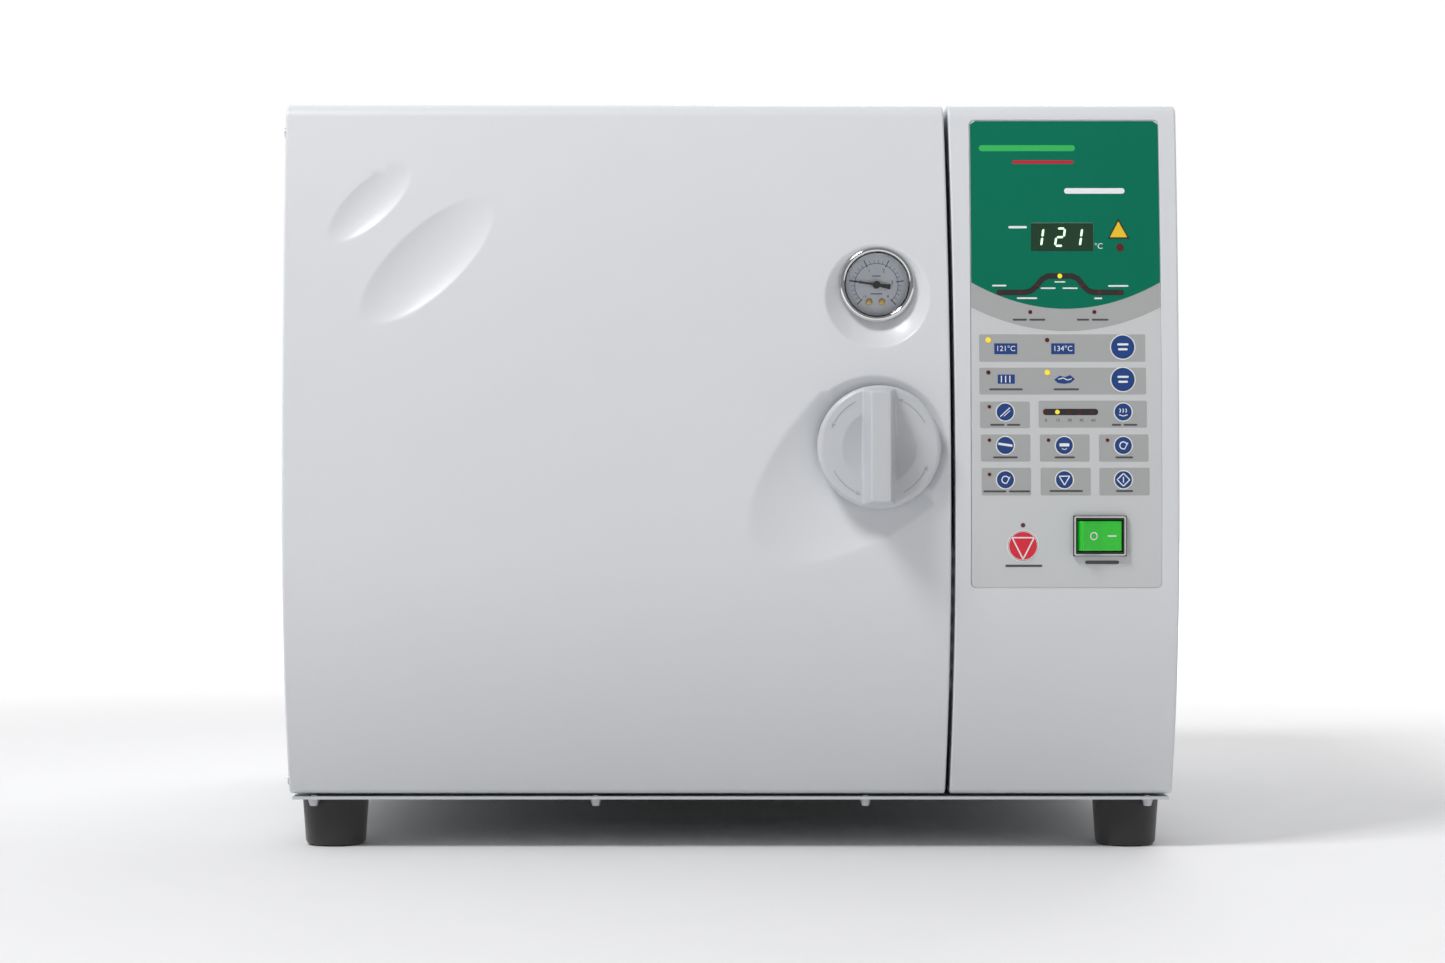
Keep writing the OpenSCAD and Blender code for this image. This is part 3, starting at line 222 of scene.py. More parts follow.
# ---------- meshes, in millimetres ----------
def mesh(name, verts, faces, body, slot_name, look=None, angle=35, normals=None):
    me = bpy.data.meshes.new(name)
    me.from_pydata((np.asarray(verts, float) / 1000).tolist(), [], [tuple(int(i) for i in f) for f in faces])
    me.validate()
    me.materials.append(M[look or slot_name])
    me.shade_smooth()
    if normals is not None:
        me.normals_split_custom_set_from_vertices([tuple(n) for n in normals])
    else:
        me.set_sharp_from_angle(angle=math.radians(angle))
    o = bpy.data.objects.new(name, me)
    bpy.context.scene.collection.objects.link(o)
    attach(o, body)
    return o


def lathe_y(profile, cx, cz, n=96):
    """Profile of (radius, y) turned about the Y line through (cx, cz)."""
    v, f = [], []
    for r, y in profile:
        for k in range(n):
            a = 2 * math.pi * k / n
            v.append((cx + r * math.cos(a), y, cz + r * math.sin(a)))
    for i in range(len(profile) - 1):
        for k in range(n):
            m = (k + 1) % n
            f.append((i * n + k, (i + 1) * n + k, (i + 1) * n + m, i * n + m))
    return v, f


def rounded(profile_points, radii, steps=5):
    """Rounds the corners of an open (r, y) polyline."""
    out = []
    for i, p in enumerate(profile_points):
        r = radii[i] if i < len(radii) else 0
        if r <= 0 or i in (0, len(profile_points) - 1):
            out.append(p)
            continue
        a, b, c = (np.array(profile_points[j], float) for j in (i - 1, i, i + 1))
        u, w = (a - b) / np.linalg.norm(a - b), (c - b) / np.linalg.norm(c - b)
        for s in range(steps + 1):
            t = s / steps
            p0, p2 = b + u * r, b + w * r
            out.append(tuple((1 - t) ** 2 * p0 + 2 * t * (1 - t) * b + t * t * p2))
    return out


# The front's profile: fullest at BULGE, radius RU above it and RL below it
FRONT, TOP, LOW, BULGE, RU, RL = -280.0, 428.0, 31.0, 183.0, 1700.0, 380.0
TOP_EDGE, LOW_EDGE = 9, 6                # radii of the rounded top and bottom edges
CORNER_X, CORNER_Y, CORNER_R = -243, -237, 12    # the hinge pin's place and the door's corner round it
SEAM_X, SEAM_BEND, SEAM_GAP = 126.5, 17200.0, 1.25
KNOB_X, KNOB_Z = 84, 231
GX, GZ = 83.5, 324.0                     # gauge
SX, SZ = 209.5, 180.6                    # power switch


def front_y(z):
    z = np.asarray(z, float)
    return np.where(z >= BULGE, FRONT + RU - np.sqrt(RU ** 2 - (z - BULGE) ** 2),
                    FRONT + RL - np.sqrt(np.maximum(RL ** 2 - (z - BULGE) ** 2, 1)))


def seam(z):
    return SEAM_X - (np.asarray(z, float) - BULGE) ** 2 / SEAM_BEND


def smax(a, b, k):
    """The larger of a and b, blended over k."""
    h = np.maximum(k - np.abs(a - b), 0) / k
    return np.maximum(a, b) + h * h * k / 4


def local(x, z, x0, z0, g):
    """World y of a surface given as local depth g(lx, lz) in the face's tangent frame at (x0, z0)."""
    r = RU if z0 > BULGE else RL
    a = math.asin((z0 - BULGE) / r)
    y0 = float(front_y(z0))
    dy = np.zeros_like(x)
    for _ in range(4):
        lz = dy * math.sin(a) + (z - z0) * math.cos(a)
        dy = (g(x - x0, lz) + (z - z0) * math.sin(a)) / math.cos(a)
    return y0 + dy


def leaf(length, width, depth, turn, shift=(0, 0)):
    h = ((width / 2) ** 2 - depth ** 2) / (2 * depth)
    arc = ((length / 2) ** 2 + depth ** 2) / (2 * depth)
    c, s = math.cos(math.radians(turn)), math.sin(math.radians(turn))

    def g(lx, lz):
        lx, lz = lx - shift[0], lz - shift[1]
        t, u = lx * c + lz * s, -lx * s + lz * c
        rho = h + depth - arc + np.sqrt(np.maximum(arc ** 2 - t ** 2, 0))
        d = np.sqrt(np.maximum(rho ** 2 - u ** 2, 0)) - h
        return np.where((np.abs(t) < length / 2 + 20) & (np.abs(u) < rho), np.maximum(d, -30), -30.0)
    return g


def bowl(r, depth):
    ball = (r * r + depth * depth) / (2 * depth)
    return lambda lx, lz: np.maximum(depth - ball + np.sqrt(np.maximum(ball ** 2 - lx ** 2 - lz ** 2, 0)), -30)


def door_face(x, z):
    """Front of the door with its two leaves, the gauge's dish and the joined hollows round the knob."""
    y = front_y(z)
    y = smax(y, local(x, z, -206, 370.5, leaf(62, 23.5, 2.8, 44)), 0.45)
    y = smax(y, local(x, z, -173, 337, leaf(101, 38, 4.4, 44.5)), 0.45)
    y = smax(y, local(x, z, 83.5, 317, bowl(29.7, 11.5)), 0.8)
    big = local(x, z, 45, 203, leaf(233, 95.6, 10, 43.6, (55.8, 46)))
    side = (x - KNOB_X) + (z - KNOB_Z)
    big = np.where(side < 0, big, big - 0.6 * side)
    hollow = smax(big, local(x, z, 81.5, 231, bowl(41.5, 13)), 2.0)
    return smax(y, hollow, 0.6)


PANEL = (136.6, 245.0, 151.0, 418.5)


def console_face(x, z):
    """Front of the console with the shallow pocket for the printed film."""
    y = front_y(z)
    cx, cz = (PANEL[0] + PANEL[1]) / 2, (PANEL[2] + PANEL[3]) / 2
    qx = np.abs(x - cx) - (PANEL[1] - PANEL[0]) / 2 + 3
    qz = np.abs(z - cz) - (PANEL[3] - PANEL[2]) / 2 + 3
    d = np.hypot(np.maximum(qx, 0), np.maximum(qz, 0)) + np.minimum(np.maximum(qx, qz), 0) - 3
    t = np.clip(0.5 - d / 0.7, 0, 1)
    return y + 1.35 * t * t * (3 - 2 * t)


def stations(lo, hi, coarse, dense, least=0.05):
    """Sorted places from lo to hi: coarse steps, and finer ones inside the (a, b, step) ranges."""
    p, out = lo, [lo]
    while p < hi - 1e-6:
        step = coarse
        for a, b, s in dense:
            if a - 1e-6 <= p < b - 1e-6:
                step = min(step, s)
            elif p < a < p + step:
                step = min(step, a - p)
        p = min(p + max(step, least), hi)
        out.append(p)
    if len(out) > 2 and out[-1] - out[-2] < 4 * least:
        out.pop(-2)
    return np.array(out)


def shell(name, body, face, xl, xr, back_y, rf_l, rf_r, zdense, tx, corner, holes, gap=None, node=None):
    """The moulded front: face grid, rounded top and bottom, rounded vertical edges and side walls."""
    rows = []                                   # (y, z, ny, nz, kind)
    zc_t, zc_b = TOP - TOP_EDGE, LOW + LOW_EDGE
    cyt = FRONT + RU - math.sqrt((RU - TOP_EDGE) ** 2 - (zc_t - BULGE) ** 2)
    cyb = FRONT + RL - math.sqrt((RL - LOW_EDGE) ** 2 - (zc_b - BULGE) ** 2)
    pt, pb = math.asin((zc_t - BULGE) / (RU - TOP_EDGE)), math.asin((zc_b - BULGE) / (RL - LOW_EDGE))
    for y in np.linspace(back_y, cyb, 14)[:-1]:
        rows.append((y, LOW, 0, -1, 0))
    for p in np.linspace(-math.pi / 2, pb, 9)[:-1]:
        rows.append((cyb - LOW_EDGE * math.cos(p), zc_b + LOW_EDGE * math.sin(p), -math.cos(p), math.sin(p), 1))
    z0, z1 = BULGE + RL * math.sin(pb), BULGE + RU * math.sin(pt)
    for z in stations(z0, z1, 5, zdense):
        r = RU if z >= BULGE else RL
        p = math.asin((z - BULGE) / r)
        rows.append((float(front_y(z)), z, -math.cos(p), math.sin(p), 2))
    for p in np.linspace(pt, math.pi / 2, 9)[1:]:
        rows.append((cyt - TOP_EDGE * math.cos(p), zc_t + TOP_EDGE * math.sin(p), -math.cos(p), math.sin(p), 1))
    for y in np.linspace(cyt, back_y, 14)[1:]:
        rows.append((y, TOP, 0, 1, 0))
    rows = np.array(rows)
    Y, Z, NY, NZ = rows[:, 0], rows[:, 1], rows[:, 2], rows[:, 3]
    n = len(rows)
    XL, XR = xl(Z).astype(float), xr(Z).astype(float)
    if corner:
        k = Y > CORNER_Y
        XL[k] = CORNER_X - np.sqrt(np.maximum(CORNER_R ** 2 - (Y[k] - CORNER_Y) ** 2, 0))
    th = np.linspace(math.pi / 2, 0, 6)
    cols = [(XL + rf_l * (1 - math.sin(t)), rf_l * (1 - math.cos(t)), math.sin(t), -1) for t in th]
    a, b = XL + rf_l, XR - rf_r
    for u in tx[1:-1]:
        cols.append((a + u * (b - a), 0.0, 0.0, 0))
    cols += [(XR - rf_r * (1 - math.sin(t)), rf_r * (1 - math.cos(t)), math.sin(t), 1) for t in th[::-1]]
    m = len(cols)
    V, N = np.zeros((n, m, 3)), np.zeros((n, m, 3))
    fr = rows[:, 4] == 2
    for j, (x, inset, sn, side) in enumerate(cols):
        V[:, j, 0] = x
        V[:, j, 1] = Y - inset * NY
        V[:, j, 2] = Z - inset * NZ
        cs = math.sqrt(max(0, 1 - sn * sn))
        N[:, j, 0], N[:, j, 1], N[:, j, 2] = side * sn, NY * cs, NZ * cs
        if side == 0:
            e = 0.12
            xx, zz = x[fr], Z[fr]
            V[fr, j, 1] = face(xx, zz)
            fx = (face(xx + e, zz) - face(xx - e, zz)) / (2 * e)
            fz = (face(xx, zz + e) - face(xx, zz - e)) / (2 * e)
            ln = np.sqrt(fx ** 2 + fz ** 2 + 1)
            N[fr, j, 0], N[fr, j, 1], N[fr, j, 2] = fx / ln, -1 / ln, fz / ln
    verts, norms = [tuple(v) for v in V.reshape(-1, 3)], [tuple(v) for v in N.reshape(-1, 3)]
    faces = []
    C = (V[:-1, :-1] + V[1:, 1:]) / 2
    ok = np.ones((n - 1, m - 1), bool)
    for hx, hz, hr in holes:
        if isinstance(hr, tuple):
            ok &= ~((np.abs(C[:, :, 0] - hx) < hr[0]) & (np.abs(C[:, :, 2] - hz) < hr[1]) & (C[:, :, 1] < -255))
        else:
            ok &= ~((np.hypot(C[:, :, 0] - hx, C[:, :, 2] - hz) < hr) & (C[:, :, 1] < -240))
    for i in range(n - 1):
        for j in range(m - 1):
            if ok[i, j]:
                faces.append((i * m + j, i * m + j + 1, (i + 1) * m + j + 1, (i + 1) * m + j))
    mid = [i for i in range(n) if rows[i, 4] > 0]
    for edge, sx in ((0, -1), (m - 1, 1)):
        base = len(verts)
        ys = [None, -255.0, float(CORNER_Y)] if (corner and edge == 0) else [None, back_y]
        arc = [math.radians(q) for q in (15, 30, 45, 60, 75, 90)] if (corner and edge == 0) else []
        w = len(ys) + len(arc)
        for i in mid:
            x, y, z = V[i, edge]
            for q in ys:
                verts.append((x, y if q is None else max(q, y), z))
                norms.append((sx, 0, 0))
            for q in arc:
                verts.append((CORNER_X - CORNER_R * math.cos(q), CORNER_Y + CORNER_R * math.sin(q), z))
                norms.append((-math.cos(q), math.sin(q), 0))
        for k in range(len(mid) - 1):
            za, zb = V[mid[k], edge, 2], V[mid[k + 1], edge, 2]
            for j in range(w - 1):
                if gap and edge == 0 and j >= 1 and za >= gap[0] - 0.5 and zb <= gap[1] + 0.5:
                    continue
                q = (base + k * w + j, base + (k + 1) * w + j, base + (k + 1) * w + j + 1, base + k * w + j + 1)
                faces.append(q if edge == 0 else q[::-1])
    o = mesh(name, verts, faces, body, "white_cover", normals=norms)
    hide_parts(node)
    return o


door_t = stations(0, 1, 0.008, [(0.03, 0.37, 0.0024), (0.64, 1.0, 0.0024)], 0.0001)
shell("door_moulding", "door", door_face, lambda z: np.full_like(z, -255.0), lambda z: seam(z) - SEAM_GAP,
      -225.0, 1.6, 1.3, [(126, 386, 0.95), (180, 180.01, 0.9), (282, 282.01, 0.9)], door_t, True,
      [(KNOB_X, KNOB_Z, 14), (GX, GZ, 18.6)], gap=(180, 282), node="door_cover")

KEYS = {"temperature": (223, 288, 6.4), "load": (223, 269.5, 6.4), "pump_test": (156, 251, 4.6),
        "dry_time": (223, 251, 4.6), "steam_test": (156, 232, 4.6), "redry": (189.5, 232, 4.6),
        "long_cycle": (223, 232, 4.6), "vacuum_release": (156, 212.5, 4.6), "stop": (189.5, 212.5, 4.6),
        "start": (223, 212.5, 4.6), "emergency": (166, 175, 8.3)}


def con_t():
    """Places across the console, closer together at the film's edges."""
    w = 255 - 1.5 - (SEAM_X + SEAM_GAP + 1.2)
    p = [0.0]
    while p[-1] < 1:
        x = 128.95 + p[-1] * w
        near = min(abs(x - PANEL[0]), abs(x - PANEL[1]))
        step = 0.22 if near < 1.2 else (0.45 if near < 4.5 else 1.6)
        p.append(min(1, p[-1] + step / w))
    return np.array(p)


shell("console_moulding", "cabinet", console_face, lambda z: seam(z) + SEAM_GAP,
      lambda z: np.full_like(z, 255.0), -205.0, 1.2, 1.5,
      [(PANEL[2] - 4.5, PANEL[2] + 4.5, 0.45), (PANEL[2] - 1.2, PANEL[2] + 1.2, 0.2),
       (PANEL[3] - 4.5, PANEL[3] + 4.5, 0.45), (PANEL[3] - 1.2, PANEL[3] + 1.2, 0.2),
       (160, 300, 1.6)], con_t(), False,
      [(k[0], k[1], k[2] + 1.2) for k in KEYS.values()]
      + [(SX, SZ, (14.4, 10.9)), (189.1, 351, (16.8, 7.2))], node="console_housing")


# rim that closes the gap between the door's outer wall and its liner
def door_rim():
    zs = np.linspace(LOW, TOP, 40)
    out = [(-243, LOW)] + [(float(seam(z)) - SEAM_GAP, z) for z in zs] + [(-243, TOP)]
    inn = [(-240.5, LOW + 3.5)] + [(float(seam(z)) - 4.9, min(max(z, LOW + 3.5), TOP - 3.5)) for z in zs] + \
          [(-240.5, TOP - 3.5)]
    v, f, k = [], [], len(out)
    for dy in (-225.05, -229.0):
        v += [(p[0], dy, p[1]) for p in out + inn]
    for i in range(k - 1):
        f.append((i, i + 1, k + i + 1, k + i))
        f.append((k + i, k + i + 1, 3 * k + i + 1, 3 * k + i))
    return mesh("door_rim", v, f, "door", "white_cover")


door_rim()

# ---------- feet ----------
for i, (fx, fy) in enumerate([(-231, -223), (-231, 238), (231, -223), (231, 238)]):
    prof = rounded([(7.0, 9.0), (7.0, 0.0), (17.3, 0.0), (19.3, 28.0), (2.6, 28.0)], [0, 0.6, 2.6, 0.8, 0])
    n = 72
    v, f = [], []
    for r, z in prof:
        v += [(fx + r * math.cos(2 * math.pi * k / n), fy + r * math.sin(2 * math.pi * k / n), z) for k in range(n)]
    for a in range(len(prof) - 1):
        for k in range(n):
            q = (k + 1) % n
            f.append((a * n + k, a * n + q, (a + 1) * n + q, (a + 1) * n + k))
    foot = mesh("foot_%d" % i, v, f, "cabinet", "rubber_black", angle=50)
    if i == 0:
        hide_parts("rubber_feet")

# ---------- gauge ----------
prof = rounded([(17.8, -268.4), (17.8, -270.6), (18.9, -272.5), (20.6, -272.5), (21.6, -271.2), (21.6, -268.5),
                (20.2, -268.4), (20.2, -242.5), (4, -242.5)], [0, 0.3, 0.7, 0.9, 0.6, 0.3, 0.1, 1.2, 0])
v, f = lathe_y(prof, GX, GZ, 128)
bezel = mesh("gauge_bezel", v, f, "door", "chrome_case", angle=45)
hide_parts("gauge_case")
v, f = lathe_y([(19.2, -268.6), (19.2, -262.0)], GX, GZ, 96)
mesh("gauge_wall", v, f, "door", "dial_white")


# ---------- printed shapes ----------
class Ink:
    def __init__(self, name, body, look, y, slot_name="overlay_film"):
        self.v, self.f, self.args, self.y = [], [], (name, body, slot_name, look), y

    def tris(self, pts, tri):
        base = len(self.v)
        for x, z in pts:
            self.v.append((x, float(self.y(z)), z))
        for a, b, c in tri:
            p, q, r = pts[a], pts[b], pts[c]
            area = (q[0] - p[0]) * (r[1] - p[1]) - (q[1] - p[1]) * (r[0] - p[0])
            self.f.append((base + a, base + b, base + c) if area > 0 else (base + a, base + c, base + b))

    def poly(self, outer, holes=()):
        loops = [[Vector((x, z, 0)) for x, z in lp] for lp in [outer, *holes]]
        self.tris([(p.x, p.y) for lp in loops for p in lp], tessellate_polygon(loops))

    def rect(self, x0, x1, z0, z1, r=0.0, holes=()):
        self.poly(rrect(x0, x1, z0, z1, r), holes)

    def disc(self, x, z, r, n=40):
        self.poly(circle(x, z, r, n))

    def ring(self, x, z, r0, r1, a0=0, a1=360, n=48):
        for k in range(n):
            a, b = (math.radians(a0 + (a1 - a0) * q / n) for q in (k, k + 1))
            self.poly([(x + r0 * math.cos(a), z + r0 * math.sin(a)), (x + r1 * math.cos(a), z + r1 * math.sin(a)),
                       (x + r1 * math.cos(b), z + r1 * math.sin(b)), (x + r0 * math.cos(b), z + r0 * math.sin(b))])

    def line(self, pts, w):
        for (ax, az), (bx, bz) in zip(pts, pts[1:]):
            d = math.hypot(bx - ax, bz - az) or 1
            ux, uz = -(bz - az) / d * w / 2, (bx - ax) / d * w / 2
            self.poly([(ax - ux, az - uz), (bx - ux, bz - uz), (bx + ux, bz + uz), (ax + ux, az + uz)])

    def text(self, body_text, x, z, size):
        cu = bpy.data.curves.new("t", "FONT")
        cu.body, cu.size, cu.align_x, cu.align_y, cu.resolution_u = body_text, size, "CENTER", "CENTER", 3
        ob = bpy.data.objects.new("t", cu)
        bpy.context.scene.collection.objects.link(ob)
        me = bpy.data.meshes.new_from_object(ob.evaluated_get(bpy.context.evaluated_depsgraph_get()))
        me.calc_loop_triangles()
        self.tris([(x + p.co.x, z + p.co.y) for p in me.vertices], [tuple(t.vertices) for t in me.loop_triangles])
        bpy.data.objects.remove(ob)

    def make(self):
        name, body, slot_name, look = self.args
        return mesh(name, self.v, self.f, body, slot_name, look)


def circle(x, z, r, n=40):
    return [(x + r * math.cos(2 * math.pi * k / n), z + r * math.sin(2 * math.pi * k / n)) for k in range(n)]


def rrect(x0, x1, z0, z1, r):
    if r <= 0:
        return [(x0, z0), (x1, z0), (x1, z1), (x0, z1)]
    out = []
    for cx, cz, a in ((x1 - r, z0 + r, -90), (x1 - r, z1 - r, 0), (x0 + r, z1 - r, 90), (x0 + r, z0 + r, 180)):
        out += [(cx + r * math.cos(math.radians(a + q)), cz + r * math.sin(math.radians(a + q)))
                for q in (0, 22.5, 45, 67.5, 90)]
    return out


def at(inset):
    return lambda z: front_y(z) + inset


def band(ink, zlow, ztop, x0, x1, hole=None):
    """Filled area between two curves, cut into rows so that it follows the curved face."""
    xs = sorted(set(np.linspace(x0, x1, 37).round(3)) | ({hole[0], hole[1]} if hole else set()))
    for a, b in zip(xs, xs[1:]):
        la, lb, ta, tb = zlow(a), zlow(b), ztop(a), ztop(b)
        cuts = np.linspace(0, 1, 24 if hole else 6)
        for c, d in zip(cuts, cuts[1:]):
            q = [(a, la + (ta - la) * c), (b, lb + (tb - lb) * c), (b, lb + (tb - lb) * d), (a, la + (ta - la) * d)]
            if hole and a >= hole[0] - 1e-6 and b <= hole[1] + 1e-6:
                lo, hi = min(p[1] for p in q), max(p[1] for p in q)
                if lo >= hole[2] and hi <= hole[3]:
                    continue
                if lo < hole[2] < hi:
                    q = [(x, min(z, hole[2])) for x, z in q]
                elif lo < hole[3] < hi:
                    q = [(x, max(z, hole[3])) for x, z in q]
            ink.poly(q)


PX0, PX1 = 137.0, 244.6
MIDX = (PX0 + PX1) / 2
green = Ink("print_green", "cabinet", "ink_green", at(0.44))
band(green, lambda x: 309.8 + 15.1 * ((x - MIDX) / 53.8) ** 2, lambda x: 418.0 - max(0, abs(x - MIDX) - 51.6) * 0.9,
     PX0, PX1, (171.3, 206.9, 342.9, 359.1))
green.make()
grey = Ink("print_grey", "cabinet", "ink_grey", at(0.45))
band(grey, lambda x: 297.1 + 13.5 * ((x - MIDX) / 53.8) ** 2,
     lambda x: 309.8 + 15.1 * ((x - MIDX) / 53.8) ** 2, PX0, PX1)
for x0, x1, z0, z1, ks in [
        (141.3, 235.8, 279.6, 295.2, ["temperature"]), (141.4, 236.1, 261.0, 276.2, ["load"]),
        (141.7, 170.0, 241.8, 256.9, ["pump_test"]), (175.0, 236.5, 242.1, 257.4, ["dry_time"]),
        (142.1, 170.2, 222.8, 238.2, ["steam_test"]), (175.6, 203.8, 222.8, 238.2, ["redry"]),
        (209.2, 237.3, 222.8, 238.2, ["long_cycle"]), (142.5, 170.6, 203.6, 219.3, ["vacuum_release"]),
        (176.0, 204.5, 203.6, 219.3, ["stop"]), (209.4, 237.9, 203.6, 219.3, ["start"])]:
    grey.rect(x0, x1, z0, z1, 0.9, [circle(KEYS[k][0], KEYS[k][1], KEYS[k][2] + 0.3) for k in ks])
grey.make()

black = Ink("print_black", "cabinet", "ink_black", at(0.36))
path = [(153, 319.2), (167.5, 319.2), (171.3, 320.2), (174.2, 323.0), (177.2, 326.6), (180.8, 328.6), (194.5, 328.6),
        (198, 326.9), (200.8, 323.0), (203.4, 320.3), (207, 319.2), (222.4, 319.2)]
black.line(path, 3.2)
for p in path:
    black.disc(p[0], p[1], 1.6, 20)
black.rect(177.4, 208.8, 249.2, 252.8, 1.7)
black.poly([(214.9, 349.9), (227.6, 349.9), (221.2, 361.8)])
black.disc(166, 186.7, 1.3, 20)
black.make()
amber = Ink("print_amber", "cabinet", "ink_amber", at(0.3))
amber.poly([(216.3, 350.8), (226.2, 350.8), (221.2, 360.0)])
amber.make()

white = Ink("print_white", "cabinet", "ink_white", at(0.38))
for x0, x1, z, h in [(158.5, 169, 356.6, 1.3), (149, 157, 323.1, 0.9), (163, 174.5, 315.9, 0.9),
                     (176.6, 185, 321.6, 0.8),
                     (189, 197.6, 321.6, 0.8), (184.5, 190.6, 325.2, 0.7), (207, 211.5, 315.8, 0.9),
                     (215, 226.5, 322.9, 0.9), (190.5, 225, 377.5, 3.2)]:
    white.rect(x0, x1, z - h / 2, z + h / 2, h * 0.45)
white.text("°C", 209.8, 345.6, 4.6)
for k in KEYS.values():
    white.ring(k[0], k[1], k[2] + 0.25, k[2] + 0.85)
white.make()
mark = Ink("print_mark", "cabinet", "ink_pale_green", at(0.38))
mark.rect(142, 197, 400.5, 404.0, 1.7)
mark.make()
mark2 = Ink("print_mark_low", "cabinet", "ink_red", at(0.38))
mark2.rect(161, 196, 393.2, 395.2, 0.9)
mark2.make()

dark = Ink("print_dark", "cabinet", "ink_dark", at(0.38))
for x0, x1, z, h in [(160.5, 168.5, 303.6, 1.1), (170, 179, 303.6, 1.1), (197, 204, 303.6, 1.1),
                     (205.5, 215, 303.6, 1.1),
                     (147, 166, 263.9, 1.1), (183.5, 198, 263.9, 1.1), (147.5, 155.5, 243.7, 1.1),
                     (157, 164.5, 243.7, 1.1),
                     (216.5, 221.8, 243.7, 1.1), (223.2, 231, 243.7, 1.1), (149, 163, 225.2, 1.1),
                     (184, 195.5, 225.2, 1.1),
                     (218.5, 228.5, 225.2, 1.1), (143.5, 156.5, 205.9, 1.1), (158, 170, 205.9, 1.1),
                     (181, 200, 206.1, 1.1), (218.8, 228.5, 206.1, 1.1), (156, 177, 163.6, 1.3),
                     (201.3, 220.6, 165.6, 2.0)]:
    dark.rect(x0, x1, z - h / 2, z + h / 2, h * 0.45)
for i, t in enumerate(["0", "15", "30", "45", "60"]):
    dark.text(t, 179.1 + 6.75 * i, 246.3, 2.5)
dark.make()

blue = Ink("print_blue", "cabinet", "key_blue", at(0.38))
blue.rect(149.9, 163.0, 283.9, 290.1)
blue.rect(182.3, 195.6, 283.9, 290.1)
blue.rect(151.8, 161.5, 267.1, 272.3)
blue.poly([(183.9, 269.4), (187, 271.6), (190, 270.9), (193, 272.0), (195.7, 269.7), (193.2, 267.6), (189.6, 267.0),
           (186, 267.5)])
blue.make()
label = Ink("print_numbers", "cabinet", "ink_white", at(0.32))
label.text("121°C", 156.4, 287.0, 4.3)
label.text("134°C", 188.9, 287.0, 4.3)
for x in (153.6, 156.0, 158.4):
    label.rect(x, x + 0.6, 267.8, 271.6)
label.line([(186.2, 269.6), (189, 270.4), (191.4, 269.2), (193.8, 269.9)], 0.5)
label.make()

# lit lamps
lit = Ink("lamps_lit", "cabinet", "lit_yellow", at(0.2), "lamp_red")
for x, z, r in [(187.5, 328.6, 1.35), (146.5, 292, 1.6), (180, 273.5, 1.6), (185.6, 251, 1.3)]:
    lit.disc(x, z, r, 24)
lit.make()

# display digits, seven segments leaning to the right
digits = Ink("display_digits", "cabinet", "digit_glow", at(0.6), "display_filter")


def seg(cx, cz, segs):
    w, h, t, lean = 5.6, 11.2, 1.25, 0.14
    ends = {"a": ((-.5, 1), (.5, 1)), "b": ((.5, 1), (.5, 0)), "c": ((.5, 0), (.5, -1)), "d": ((-.5, -1), (.5, -1)),
            "e": ((-.5, 0), (-.5, -1)), "f": ((-.5, 1), (-.5, 0)), "g": ((-.5, 0), (.5, 0))}
    for s in segs:
        p = [np.array((cx + u * (w - t), cz + q * (h - t) / 2)) for u, q in ends[s]]
        d = (p[1] - p[0]) / np.linalg.norm(p[1] - p[0])
        nrm = np.array((-d[1], d[0])) * t / 2
        a, b = p[0] + d * 0.25, p[1] - d * 0.25
        e = d * t * 0.45
        pts = [a, a + e - nrm, b - e - nrm, b, b - e + nrm, a + e + nrm]
        digits.poly([(x + lean * (z - cz), z) for x, z in pts])


seg(175.6, 350.9, "bc")
seg(187.9, 350.9, "abged")
seg(197.7, 350.9, "bc")
digits.make()
filt = Ink("display_glass", "cabinet", "display_filter", at(0.66), "display_filter")
band(filt, lambda x: 343.0, lambda x: 359.0, 171.4, 206.8)
filt.make()

